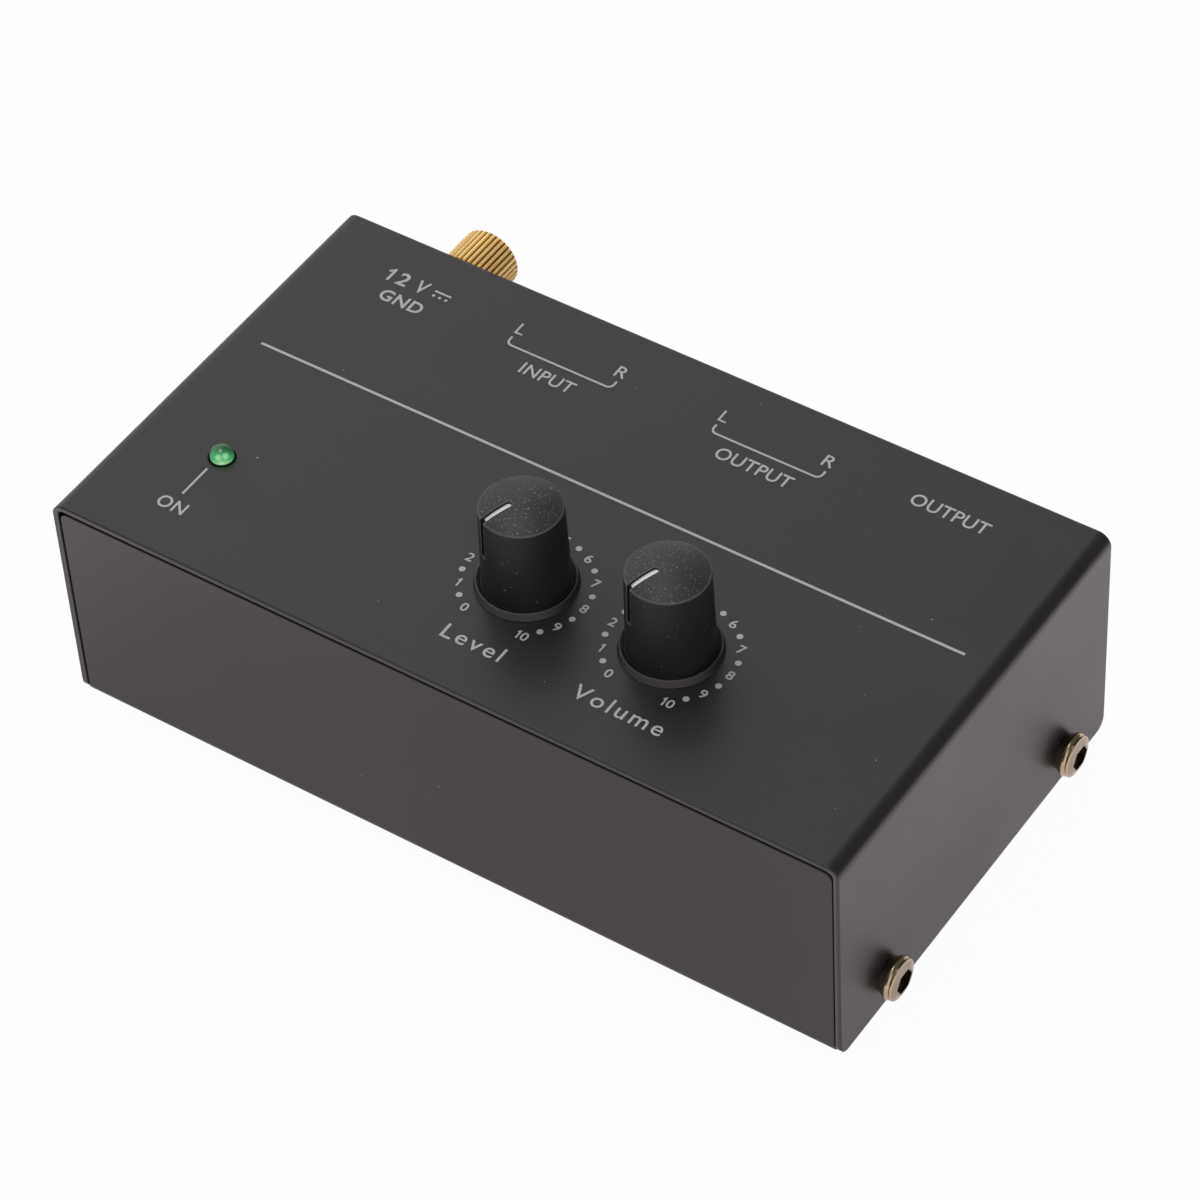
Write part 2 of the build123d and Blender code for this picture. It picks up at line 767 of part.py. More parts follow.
def ground_washer():
    """Plain washer under the thumb nut."""
    return ring_y(ground_washer_r, ground_stud_r + nut_hole_gap, fixed_nut_thickness, ground_washer_thickness)


def thumb_nut():
    """Round nut with straight teeth all round and bevelled ends."""
    root = thumb_nut_r - knurl_depth
    step = 360 / thumb_nut_teeth
    crest = step / 6  # half the flat on a tooth's crest
    outline = []
    for tooth in range(thumb_nut_teeth):
        middle = tooth * step
        outline.append(polar(thumb_nut_r, middle - crest))
        outline.append(polar(thumb_nut_r, middle + crest))
        outline.append(polar(root, middle + step / 2))
    start = fixed_nut_thickness + ground_washer_thickness
    nut = along_y(make_face(Polyline(*outline, close=True)), start, thumb_nut_length)
    blank = along_y(Circle(thumb_nut_r), start, thumb_nut_length)
    nut &= chamfer(blank.edges().filter_by(GeomType.CIRCLE), knurl_depth)
    return nut - along_y(Circle(ground_stud_r + nut_hole_gap), start, thumb_nut_length)


# ---- parts on the board ----
def op_amp():
    """Eight-pin chip with its legs."""
    base_z = board_top_z + chip_leg_width
    half = chip_length / 2
    chip = centred_block(0, chip_width, (-half, half), (base_z, base_z + chip_height))
    chip = chamfer(chip.edges().filter_by(Axis.Y), chip_leg_width)
    for n in range(chip_leg_count):
        y = (n - (chip_leg_count - 1) / 2) * chip_leg_pitch
        y_range = (y - chip_leg_width / 2, y + chip_leg_width / 2)
        shoulder_z = base_z + chip_height / 2
        outer = chip_leg_row / 2
        bridge = centred_block(0, 2 * outer, y_range, (shoulder_z - chip_leg_width, shoulder_z))
        chip += bridge
        for side in (-1, 1):
            x_range = sorted((side * outer, side * (outer - chip_leg_width)))
            chip += block(x_range, y_range, (board_top_z, shoulder_z))
    return chip


def electrolytic():
    """Can capacitor with the groove near its base."""
    can = along_z(Circle(electrolytic_r), board_top_z, electrolytic_height)
    can = fillet(can.edges().group_by(Axis.Z)[-1], electrolytic_groove)
    groove_z = board_top_z + electrolytic_height / 6
    return can - Pos(0, 0, groove_z) * Torus(electrolytic_r, electrolytic_groove)


def film_capacitor():
    """Box capacitor with bevelled upper edges."""
    half = film_width / 2
    box = centred_block(0, film_length, (-half, half), (board_top_z, board_top_z + film_height))
    return chamfer(box.edges().group_by(Axis.Z)[-1], electrolytic_groove)


def resistor():
    """Lying resistor with waisted body and bent leads."""
    axis_z = board_top_z + resistor_lift + resistor_r
    body = along_x(Circle(resistor_r), -resistor_length / 2, resistor_length)
    cut = Circle(2 * resistor_r) - Circle(resistor_r * 0.85)
    body -= along_x(cut, -resistor_length / 4, resistor_length / 2)
    body = Pos(0, 0, axis_z) * body
    for side in (-1, 1):
        lead_x = side * resistor_lead_reach
        x_range = sorted((0, lead_x + side * resistor_lead_r))
        width = (-resistor_lead_r, resistor_lead_r)
        body += block(x_range, width, (axis_z - resistor_lead_r, axis_z + resistor_lead_r))
        foot_range = (lead_x - resistor_lead_r, lead_x + resistor_lead_r)
        body += block(foot_range, width, (board_top_z, axis_z))
    return body


def voltage_regulator():
    """Upright regulator: moulded body, metal tab with its hole and three legs."""
    half = regulator_width / 2
    base_z = board_top_z + regulator_leg_length
    top = base_z + regulator_height
    body = block((-half, half), (0, regulator_thickness), (base_z, top))
    tab_z = (top, top + regulator_tab_height)
    tab = block((-half, half), (0, regulator_tab_thickness), tab_z)
    body += tab - along_y(Pos(0, sum(tab_z) / 2) * Circle(regulator_hole_r), -sheet, 4 * sheet)
    middle_y = regulator_thickness / 2
    for n in (-1, 0, 1):
        y_range = (middle_y - lead_width / 2, middle_y + lead_width / 2)
        body += centred_block(n * chip_leg_pitch, lead_width, y_range, (board_top_z, base_z))
    return body


def board_row(shape, y, count, first_x, pitch):
    """Copies of a part in a row across the board."""
    return [Pos(first_x + n * pitch, y, 0) * shape for n in range(count)]


# ---- write every sub-part ----
save("top_cover", [top_cover()])
save("bottom_tray", [bottom_tray()])
save("rubber_feet", rubber_feet())
save("side_screws", side_places(Pos(side_x, 0, 0) * side_screw()))
save("clinch_nuts", side_places(clinch_nut()))

save("circuit_board", [circuit_board()])
save("board_standoffs", [Pos(x, y, 0) * board_standoff() for x, y in board_holes()])
save("board_screws", [Pos(x, y, 0) * board_screw() for x, y in board_holes()])

save_dial("level", level_x)
save_dial("volume", volume_x)

save("lamp_lens", [lamp_lens()])
save("lamp_leads", lamp_leads(lead_width, board_z - lead_tail, lamp_base_z()))
save("lamp_spacer", [lamp_spacer()])

phono_names = ("left_input", "right_input", "left_output", "right_output")
for phono_name, phono_x in zip(phono_names, phono_xs):
    save_phono_socket(phono_name, phono_x)

stereo_place = Pos(stereo_x, panel_y, stereo_z)
stereo_washer = ring_y(stereo_washer_r, bushing_r + running_gap, 0, stereo_washer_thickness)
save("stereo_socket_body", [stereo_place * stereo_body()])
save("stereo_socket_springs", [stereo_place * spring for spring in stereo_springs()])
save("stereo_socket_bushing", [stereo_place * stereo_bushing()])
save("stereo_socket_washer", [stereo_place * stereo_washer])
save("stereo_socket_nut", [stereo_place * stereo_nut()])

power_place = Pos(power_x, panel_y, power_z)
save("power_socket_body", [power_place * power_body()])
save("power_socket_pin", [power_place * power_pin()])
save("power_socket_spring", [power_place * power_spring()])

ground_place = Pos(power_x, panel_y, ground_z)
save("ground_stud", [ground_place * ground_stud()])
save("ground_lug", [ground_place * ground_lug()])
save("ground_wire", [ground_place * ground_wire()])
save("ground_fixed_nut", [ground_place * fixed_nut()])
save("ground_washer", [ground_place * ground_washer()])
save("ground_thumb_nut", [ground_place * thumb_nut()])

lengthwise_resistor = Rot(0, 0, 90) * resistor()
save("op_amps", board_row(op_amp(), op_amp_y, op_amp_count, op_amp_first_x, op_amp_pitch))
electrolytics = board_row(
    electrolytic(), electrolytic_y, electrolytic_count, electrolytic_first_x, electrolytic_pitch
)
save("electrolytic_capacitors", electrolytics)
save("film_capacitors", board_row(film_capacitor(), film_y, film_count, film_first_x, film_pitch))
resistors = board_row(
    lengthwise_resistor, resistor_y, resistor_count, resistor_first_x, resistor_pitch
)
save("resistors", resistors)
save("voltage_regulator", [Pos(power_x, front_y + regulator_setback, 0) * voltage_regulator()])
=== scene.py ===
import math

import bmesh
import bpy
from bpy.props import FloatProperty, FloatVectorProperty, PointerProperty
from mathutils import Euler, Matrix, Vector


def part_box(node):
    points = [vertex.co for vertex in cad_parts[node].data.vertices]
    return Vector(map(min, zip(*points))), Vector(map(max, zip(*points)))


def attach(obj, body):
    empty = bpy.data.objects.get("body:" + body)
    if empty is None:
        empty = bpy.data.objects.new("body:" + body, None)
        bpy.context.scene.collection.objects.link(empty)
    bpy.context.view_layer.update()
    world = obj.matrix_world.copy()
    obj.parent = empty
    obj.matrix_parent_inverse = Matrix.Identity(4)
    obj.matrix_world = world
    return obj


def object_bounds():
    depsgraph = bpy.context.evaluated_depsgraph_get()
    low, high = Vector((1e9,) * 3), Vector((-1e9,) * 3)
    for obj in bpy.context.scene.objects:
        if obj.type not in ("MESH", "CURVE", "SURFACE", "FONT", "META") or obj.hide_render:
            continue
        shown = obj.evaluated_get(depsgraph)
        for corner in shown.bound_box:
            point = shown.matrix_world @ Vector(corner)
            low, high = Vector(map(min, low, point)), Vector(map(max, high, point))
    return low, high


bl_info = {
    "name": "Phono preamp finishes",
    "version": (1, 0, 0),
    "blender": (4, 5, 0),
    "location": "3D View > Sidebar > Preamp",
    "description": "Paints, prints and lights the packed phono preamp",
    "category": "Object",
}

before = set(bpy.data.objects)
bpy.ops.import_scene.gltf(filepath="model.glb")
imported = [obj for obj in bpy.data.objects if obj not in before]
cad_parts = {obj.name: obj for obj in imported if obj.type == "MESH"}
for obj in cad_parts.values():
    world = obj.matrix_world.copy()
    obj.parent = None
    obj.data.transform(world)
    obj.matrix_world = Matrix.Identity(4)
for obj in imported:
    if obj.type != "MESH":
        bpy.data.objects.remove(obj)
case_low, case_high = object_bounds()
cover_low, cover_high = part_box("top_cover")
cover_middle_y = (cover_low.y + cover_high.y) / 2

MM = 0.001
UP = Vector((0, 0, 1))


def linear(hex_code):
    """Turns an sRGB hex colour into the linear red, green and blue that Blender's sockets take."""
    parts = [int(hex_code[i:i + 2], 16) / 255 for i in (1, 3, 5)]
    return tuple(c / 12.92 if c <= 0.04045 else ((c + 0.055) / 1.055) ** 2.4 for c in parts)


def tinted(colour, share):
    """A colour made darker or lighter by a share."""
    return tuple(share * c for c in colour)


def place_of(node):
    """Centre of a node's box."""
    low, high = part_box(node)
    return (low + high) / 2


# ---------------------------------------------------------------- settings

class PaintSettings(bpy.types.PropertyGroup):
    paint: FloatVectorProperty(name="Paint", description="Colour of the powder coat", subtype="COLOR",
                               size=3, min=0, max=1, default=linear("#221f21"))
    peel: FloatProperty(name="Orange peel", description="Distance between the soft waves of the coat",
                        unit="LENGTH", default=0.9 * MM, min=0.1 * MM)
    gloss_loss: FloatProperty(name="Roughness", description="How far the coat blurs what it mirrors",
                              subtype="FACTOR", default=0.36, min=0, max=1)
    sheet: FloatProperty(name="Sheet", description="Thickness of the painted sheet at its cut edge",
                         unit="LENGTH", default=0.9 * MM, min=0.1 * MM)


class PrintSettings(bpy.types.PropertyGroup):
    ink: FloatVectorProperty(name="Ink", description="Colour of the printed marks", subtype="COLOR",
                             size=3, min=0, max=1, default=linear("#a5a3a6"))
    thickness: FloatProperty(name="Ink thickness", description="How far the ink stands on the cover",
                             unit="LENGTH", default=0.03 * MM, min=0.005 * MM)
    stroke: FloatProperty(name="Line width", description="Width of the bracket and leader lines",
                          unit="LENGTH", default=0.34 * MM, min=0.05 * MM)
    scale_radius: FloatProperty(name="Scale radius",
                                description="From a knob's middle to its numbers and dots",
                                unit="LENGTH", default=9.78 * MM, min=8 * MM)
    dot: FloatProperty(name="Dot diameter", description="Dots between the numbers of a dial",
                       unit="LENGTH", default=0.98 * MM, min=0.2 * MM)
    figure_height: FloatProperty(name="Number height", description="Height of a dial's numbers",
                                 unit="LENGTH", default=1.62 * MM, min=0.3 * MM)


class ScrewSettings(bpy.types.PropertyGroup):
    nickel: FloatVectorProperty(name="Nickel", description="Colour of the plated screws", subtype="COLOR",
                                size=3, min=0, max=1, default=linear("#a59a88"))
    socket_reach: FloatProperty(name="Socket reach",
                                description="From a screw's axis to the corners of its hexagon socket",
                                unit="LENGTH", default=2.03 * MM, min=0.5 * MM)


class DialSettings(bpy.types.PropertyGroup):
    rubber: FloatVectorProperty(name="Knob", description="Colour of the soft-touch knobs",
                                subtype="COLOR", size=3, min=0, max=1, default=linear("#201e1f"))
    pointer: FloatVectorProperty(name="Pointer", description="Colour of the moulded pointers",
                                 subtype="COLOR", size=3, min=0, max=1, default=linear("#e9e7e6"))
    crown: FloatProperty(name="Crown", description="How far the knob's domed cap rises above its edge",
                         unit="LENGTH", default=1.5 * MM, min=0.1 * MM)
    # The foot is painted lighter on its front up to this height, as a reflection.
    flange: FloatProperty(name="Scuffed foot", description="How far up the knob's flange is scuffed",
                          unit="LENGTH", default=1.3 * MM, min=0.1 * MM)


class LampSettings(bpy.types.PropertyGroup):
    green: FloatVectorProperty(name="Lens", description="Colour of the lamp's epoxy lens", subtype="COLOR",
                               size=3, min=0, max=1, default=linear("#4fab70"))
    post_height: FloatProperty(name="Post height", description="Height of the metal posts inside the lens",
                               unit="LENGTH", default=1.1 * MM, min=0.2 * MM)


class StageSettings(bpy.types.PropertyGroup):
    floor_size: FloatProperty(name="Floor size", description="Side of the pale floor", unit="LENGTH",
                              default=6.0, min=1)
    focal: FloatProperty(name="Focal length", description="Lens of the camera in millimetres of a 36 mm film",
                         default=146.55, min=20)
    table: FloatVectorProperty(name="Table in the paint",
                               description="Colour of the near floor as the shiny parts mirror it",
                               subtype="COLOR", default=linear("#ebe2e8"), min=0, max=1)
    key_power: FloatProperty(name="Key light", description="Power of the large soft lamp in watts",
                             default=14.0, min=0)
    fill_power: FloatProperty(name="Fill light",
                              description="Power of the soft lamp on the other side in watts",
                              default=6.0, min=0)


SETTINGS = {
    "preamp_paint": PaintSettings,
    "preamp_print": PrintSettings,
    "preamp_screws": ScrewSettings,
    "preamp_dials": DialSettings,
    "preamp_lamp": LampSettings,
    "preamp_stage": StageSettings,
}


# ---------------------------------------------------------------- making materials

def add(tree, kind, settings=None, values=None, links=None):
    """Adds a node with its own settings, its sockets' values and the sockets that feed it."""
    made = tree.nodes.new(kind)
    for name, value in (settings or {}).items():
        setattr(made, name, value)
    for socket, value in (values or {}).items():
        made.inputs[socket].default_value = value
    for socket, source in (links or {}).items():
        tree.links.new(source, made.inputs[socket])
    return made


def empty_material(name):
    """A material with no nodes yet, and its tree."""
    finish = bpy.data.materials.new(name)
    finish.use_nodes = True
    finish.node_tree.nodes.clear()
    return finish, finish.node_tree


def shaded(finish, tree, values, links):
    """Ends a material's tree in its one shader, and gives back the material."""
    shader = add(tree, "ShaderNodeBsdfPrincipled", values=values, links=links)
    add(tree, "ShaderNodeOutputMaterial", links={"Surface": shader.outputs[0]})
    return finish


def dress(node, finish):
    """Puts one finish on every slot of a CAD node."""
    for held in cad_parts[node].material_slots:
        held.material = finish


def layered(tree, base, *layers):
    """Lays colours over a base, each as far as the socket beside it says. A colour may be a socket too."""
    top = base
    for colour, share in layers:
        blend = add(tree, "ShaderNodeMix", {"data_type": "RGBA"}, links={0: share})
        for socket, held in ((6, top), (7, colour)):
            if isinstance(held, bpy.types.NodeSocket):
                tree.links.new(held, blend.inputs[socket])
            else:
                blend.inputs[socket].default_value = (*held, 1)
        top = blend.outputs[2]
    return top


def cloudy(tree, where, grain, detail, rough=0.5):
    """Soft noise with its grains a given size in metres."""
    scaled = add(tree, "ShaderNodeMapping", values={"Scale": (1 / grain,) * 3}, links={"Vector": where})
    return add(tree, "ShaderNodeTexNoise", values={"Scale": 1, "Detail": detail, "Roughness": rough},
               links={"Vector": scaled.outputs[0]}).outputs["Fac"]


def specks(tree, where, spacing, radius, share):
    """1 on sparse round specks: one in each cell of the given spacing, kept on a share of the cells."""
    soft_rim = 0.15  # share of the radius over which a speck fades out
    scaled = add(tree, "ShaderNodeMapping", values={"Scale": (1 / spacing,) * 3}, links={"Vector": where})
    cells = add(tree, "ShaderNodeTexVoronoi", values={"Scale": 1, "Randomness": 1},
                links={"Vector": scaled.outputs[0]})
    chosen = add(tree, "ShaderNodeSeparateColor", links={0: cells.outputs["Color"]})
    size = add(tree, "ShaderNodeMapRange",
               values={"From Min": 1 - share, "From Max": 1, "To Min": 0, "To Max": radius / spacing},
               links={"Value": chosen.outputs[0]})
    inside = add(tree, "ShaderNodeMath", {"operation": "SUBTRACT"},
                 links={0: size.outputs[0], 1: cells.outputs["Distance"]})
    return add(tree, "ShaderNodeMapRange", values={"From Min": 0, "From Max": soft_rim * radius / spacing},
               links={"Value": inside.outputs[0]}).outputs[0]


def towards(tree, place, direction, start, end, most=1.0):
    """How far a place lies along a direction: 0 at the start, easing to the most at the end."""
    along = add(tree, "ShaderNodeVectorMath", {"operation": "DOT_PRODUCT"}, {1: direction}, {0: place})
    return add(tree, "ShaderNodeMapRange", {"interpolation_type": "SMOOTHSTEP"},
               {"From Min": start, "From Max": end, "To Max": most},
               {"Value": along.outputs["Value"]}).outputs[0]


def looked_at(tree, ray):
    """1 where the eye looks, straight, in a mirror or through glass, and 0 for rays that only light."""
    direct = add(tree, "ShaderNodeMath", {"operation": "MAXIMUM"},
                 links={0: ray.outputs["Is Camera Ray"], 1: ray.outputs["Is Glossy Ray"]})
    return add(tree, "ShaderNodeMath", {"operation": "MAXIMUM"},
               links={0: direct.outputs[0], 1: ray.outputs["Is Transmission Ray"]}).outputs[0]


def plain_finish(name, light, dark, metallic, rough, grain, relief, edge=0.0):
    """A finish whose colour, roughness and relief wander together at one grain size, given in metres."""
    usual_low, usual_high = 0.25, 0.75  # where nearly all of the noise lies
    smoothest, roughest = rough
    finish, tree = empty_material(name)
    where = add(tree, "ShaderNodeTexCoord").outputs["Object"]
    cloud = cloudy(tree, where, grain, 3, 0.6)
    dulled = add(tree, "ShaderNodeMapRange",
                 values={"From Min": usual_low, "From Max": usual_high,
                         "To Min": smoothest, "To Max": roughest}, links={"Value": cloud})
    bump = add(tree, "ShaderNodeBump", values={"Strength": 1, "Distance": relief}, links={"Height": cloud})
    if edge:
        rounded = add(tree, "ShaderNodeBevel", {"samples": 6}, {"Radius": edge})
        tree.links.new(rounded.outputs[0], bump.inputs["Normal"])
    return shaded(finish, tree, {"Metallic": metallic},
                  {"Base Color": layered(tree, dark, (light, cloud)), "Roughness": dulled.outputs[0],
                   "Normal": bump.outputs[0]})


def small_finish(name, light, dark, metallic, smoothest, roughest, grain, relief, edge):
    """A plain finish from hex colours, and from a grain, relief and rounded edge in millimetres."""
    return plain_finish(name, linear(light), linear(dark), metallic, (smoothest, roughest),
                        grain * MM, relief * MM, edge * MM)


# ---------------------------------------------------------------- materials

# Dust, fluff and grit: spacing of the cells, largest radius, and the share of cells that hold a speck.
COAT_DUST = (3.6 * MM, 0.16 * MM, 0.6)
KNOB_FLUFF = (0.28 * MM, 0.08 * MM, 0.9)
KNOB_GRIT = (1.0 * MM, 0.12 * MM, 0.7)

PLATING_PATCH = 2 / 3 * MM  # soft patches in gold and nickel plate
PAPER_PATCH = 2.5 * MM  # clouds in the paper's pulp


def cut_edge_highlight(tree, where, sheet):
    """Where the painted highlight lies: 1 along the inner part of the cover's cut edge, seen from the front,
    and 0 elsewhere.
    """
    starts, full, fading, gone = 0.45, 0.7, 0.85, 1.0  # depths under the outer face, in sheets
    top_shift = 0.24 * sheet  # along the top the line lies nearer to the inner face, so it is thinner
    straight_on = 0.9
    spot = add(tree, "ShaderNodeSeparateXYZ", links={0: where})
    aside = add(tree, "ShaderNodeMath", {"operation": "ABSOLUTE"}, links={0: spot.outputs["X"]})
    beside = add(tree, "ShaderNodeMath", {"operation": "SUBTRACT"}, {1: cover_high.x}, {0: aside.outputs[0]})
    above = add(tree, "ShaderNodeMath", {"operation": "SUBTRACT"}, {1: cover_high.z - top_shift},
                {0: spot.outputs["Z"]})
    rim = add(tree, "ShaderNodeMath", {"operation": "MAXIMUM"},
              links={0: beside.outputs[0], 1: above.outputs[0]})
    inner, outer = (add(tree, "ShaderNodeMapRange",
                        values={"From Min": -clear * sheet, "From Max": -whole * sheet},
                        links={"Value": rim.outputs[0]}).outputs[0]
                    for clear, whole in ((gone, fading), (starts, full)))
    line = add(tree, "ShaderNodeMath", {"operation": "MULTIPLY"}, links={0: inner, 1: outer})
    surface = add(tree, "ShaderNodeNewGeometry").outputs["Normal"]
    ahead = add(tree, "ShaderNodeVectorMath", {"operation": "DOT_PRODUCT"}, {1: (0, -1, 0)}, {0: surface})
    front = add(tree, "ShaderNodeMath", {"operation": "GREATER_THAN"}, {1: straight_on},
                {0: ahead.outputs["Value"]})
    return add(tree, "ShaderNodeMath", {"operation": "MULTIPLY"},
               links={0: line.outputs[0], 1: front.outputs[0]}).outputs[0]


# Mild steel sheet with an electrostatic powder coat, baked: a satin black skin that mirrors the room as
# a soft grey, with faint orange peel and a few grains of dust. The coat pulls thin on the sheet's cut edge,
# and a pale line there is painted highlight. The peel is drawn wider than the real 0.5 mm so that it shows.
def powder_coated_steel(paint):
    uneven = 0.03  # how far the roughness wanders either way
    finish, tree = empty_material("steel_powder_coated_black")
    where = add(tree, "ShaderNodeTexCoord").outputs["Object"]
    peel = cloudy(tree, where, paint.peel, 2, 0.45)
    drift = cloudy(tree, where, 22 * MM, 3)
    # The coat's colour and dust, and last a painted highlight along the cut edge.
    coated = layered(tree, tinted(paint.paint, 0.82), (tinted(paint.paint, 1.18), drift),
                     (linear("#8c8987"), specks(tree, where, *COAT_DUST)),
                     (linear("#494547"), cut_edge_highlight(tree, where, paint.sheet)))
    rough = add(tree, "ShaderNodeMapRange",
                values={"From Min": 0.3, "From Max": 0.7, "To Min": paint.gloss_loss - uneven,
                        "To Max": paint.gloss_loss + uneven}, links={"Value": drift})
    edge = add(tree, "ShaderNodeBevel", {"samples": 8}, {"Radius": 0.5 * MM})
    bump = add(tree, "ShaderNodeBump", values={"Strength": 1, "Distance": 0.004 * MM},
               links={"Height": peel, "Normal": edge.outputs[0]})
    return shaded(finish, tree, {"IOR": 1.53},
                  {"Base Color": coated, "Roughness": rough.outputs[0], "Normal": bump.outputs[0]})


# ABS knob sprayed with soft-touch polyurethane lacquer: a matt, slightly chalky black that is worn lighter
# on its edges, with a painted highlight there too, and holds fine pale dust, most of it on top. The front of
# the foot is painted lighter as a reflection, and the creases are painted dark as shade.
def soft_touch_abs(dials):
    sheen_side = (0.3, -0.95, 0)  # the side of the foot painted lighter, towards the front
    knob_low, knob_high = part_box("level_knob")
    finish, tree = empty_material("abs_soft_touch_lacquer_black")
    where = add(tree, "ShaderNodeTexCoord").outputs["Object"]
    surface = add(tree, "ShaderNodeNewGeometry").outputs["Normal"]
    grain = cloudy(tree, where, 0.35 * MM, 3, 0.6)
    drift = cloudy(tree, where, 4 * MM, 2)

    # Bloom and fluff lie on what looks up.
    up = add(tree, "ShaderNodeSeparateXYZ", links={0: surface})
    top = add(tree, "ShaderNodeMapRange", values={"From Min": 0.6, "From Max": 0.9},
              links={"Value": up.outputs["Z"]}).outputs[0]
    bloom = add(tree, "ShaderNodeMath", {"operation": "MULTIPLY"}, links={0: top, 1: drift})
    laid = add(tree, "ShaderNodeMath", {"operation": "MULTIPLY"},
               links={0: specks(tree, where, *KNOB_FLUFF), 1: top})

    # Painted reflection on the foot's front, painted highlights on the worn edges and round the crown's edge.
    height = add(tree, "ShaderNodeSeparateXYZ", links={0: where}).outputs["Z"]
    foot = add(tree, "ShaderNodeMapRange",
               values={"From Min": knob_low.z + dials.flange, "From Max": knob_low.z + 0.8 * dials.flange,
                       "To Max": 0.8}, links={"Value": height})
    ahead = add(tree, "ShaderNodeVectorMath", {"operation": "DOT_PRODUCT"}, {1: sheen_side}, {0: surface})
    front = add(tree, "ShaderNodeMapRange", values={"From Min": 0.3, "From Max": 0.95},
                links={"Value": ahead.outputs["Value"]})
    front_sheen = add(tree, "ShaderNodeMath", {"operation": "MULTIPLY"},
                links={0: foot.outputs[0], 1: front.outputs[0]})
    edge = add(tree, "ShaderNodeBevel", {"samples": 8}, {"Radius": 0.25 * MM})
    along = add(tree, "ShaderNodeVectorMath", {"operation": "DOT_PRODUCT"},
                links={0: edge.outputs[0], 1: surface})
    edge_wear_and_highlight = add(tree, "ShaderNodeMapRange", values={"From Min": 0.995, "From Max": 0.93, "To Max": 0.6},
                 links={"Value": along.outputs["Value"]})
    below = add(tree, "ShaderNodeMath", {"operation": "SUBTRACT"}, {1: knob_high.z - dials.crown},
                {0: height})
    level = add(tree, "ShaderNodeMath", {"operation": "ABSOLUTE"}, links={0: below.outputs[0]})
    # Painted highlight line round the crown's edge, worn there too.
    line = add(tree, "ShaderNodeMapRange",
               values={"From Min": 0.14 * MM, "From Max": 0.04 * MM, "To Max": 0.28},
               links={"Value": level.outputs[0]})
    worn_and_lit = layered(tree, tinted(dials.rubber, 0.8), (tinted(dials.rubber, 1.2), grain),
                   (linear("#2f2b2c"), bloom.outputs[0]), (linear("#8f8886"), laid.outputs[0]),
                   (linear("#8f8a88"), specks(tree, where, *KNOB_GRIT)),
                   (linear("#504b4c"), front_sheen.outputs[0]), (linear("#7d7977"), edge_wear_and_highlight.outputs[0]),
                   (linear("#7d7977"), line.outputs[0]))

    # Painted shade: where the knob's own parts lie close, the creases are darkened to near black.
    shade = add(tree, "ShaderNodeAmbientOcclusion", {"samples": 8, "only_local": True}, {"Distance": 2 * MM})
    open_air = add(tree, "ShaderNodeMapRange", values={"From Min": 0.3, "From Max": 0.7},
                   links={"Value": shade.outputs["AO"]})
    bump = add(tree, "ShaderNodeBump", values={"Strength": 1, "Distance": 0.006 * MM},
               links={"Height": grain, "Normal": edge.outputs[0]})
    return shaded(finish, tree, {"Roughness": 0.5, "IOR": 1.5},
                  {"Base Color": layered(tree, linear("#0b0a0a"), (worn_and_lit, open_air.outputs[0])),
                   "Normal": bump.outputs[0]})


# Painted lights on the lens, in layers: a direction on the dome, where it starts and is full, and a tone.
LENS_PAINTED_LIGHTS = (
    ((0.45, -0.64, -0.63), 0.3, 0.95, "#c8f7bd"),  # painted light gathered at the front foot
    ((0.261, -0.806, 0.529), 0.93, 1.0, "#b5efac"),  # painted light where the left post shows through
    ((0.710, -0.364, 0.602), 0.94, 1.0, "#a9ecc0"),  # painted light where the right post shows through
    ((-0.871, 0.03, 0.49), 0.88, 0.99, "#a8d8b0"),  # painted highlight on the rim at the back
    ((0.57, -0.80, 0.02), 0.93, 0.995, "#dcffd2"),  # painted glint over the front foot
)


# Tinted epoxy cast round the lamp's chip: a clear green drop, painted darker towards the back of the crown,
# with painted light gathered at its front foot and the two posts of the lead frame painted as pale upright
# blurs.
def cast_epoxy_green(lamp):
    finish, tree = empty_material("epoxy_cast_green")
    low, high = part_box("lamp_lens")
    radius = (high.x - low.x) / 2
    middle = Vector(((low.x + high.x) / 2, (low.y + high.y) / 2, high.z - radius))
    where = add(tree, "ShaderNodeTexCoord").outputs["Object"]
    dome = add(tree, "ShaderNodeMapping", {"vector_type": "TEXTURE"},
               {"Location": middle, "Scale": (radius,) * 3}, {"Vector": where}).outputs[0]
    # Painted light and shade: the body is lighter towards its front foot and darker towards the back.
    lit_side = towards(tree, dome, (0.36, -0.72, -0.6), -0.55, 0.45)
    body = layered(tree, tinted(lamp.green, 0.2), (lamp.green, lit_side))
    painted_glow = layered(tree, body, *((linear(tone), towards(tree, dome, direction, start, full))
                                 for direction, start, full, tone in LENS_PAINTED_LIGHTS))
    # Painted shade on the gap round the foot.
    shadow = (tinted(lamp.green, 0.03), towards(tree, dome, (0, 0, -1), 0.06, 0.15))
    return shaded(finish, tree,
                  {"Roughness": 0.05, "IOR": 1.54, "Transmission Weight": 0.35, "Emission Strength": 0.55},
                  {"Base Color": layered(tree, body, shadow), "Emission Color": layered(tree, painted_glow, shadow)})


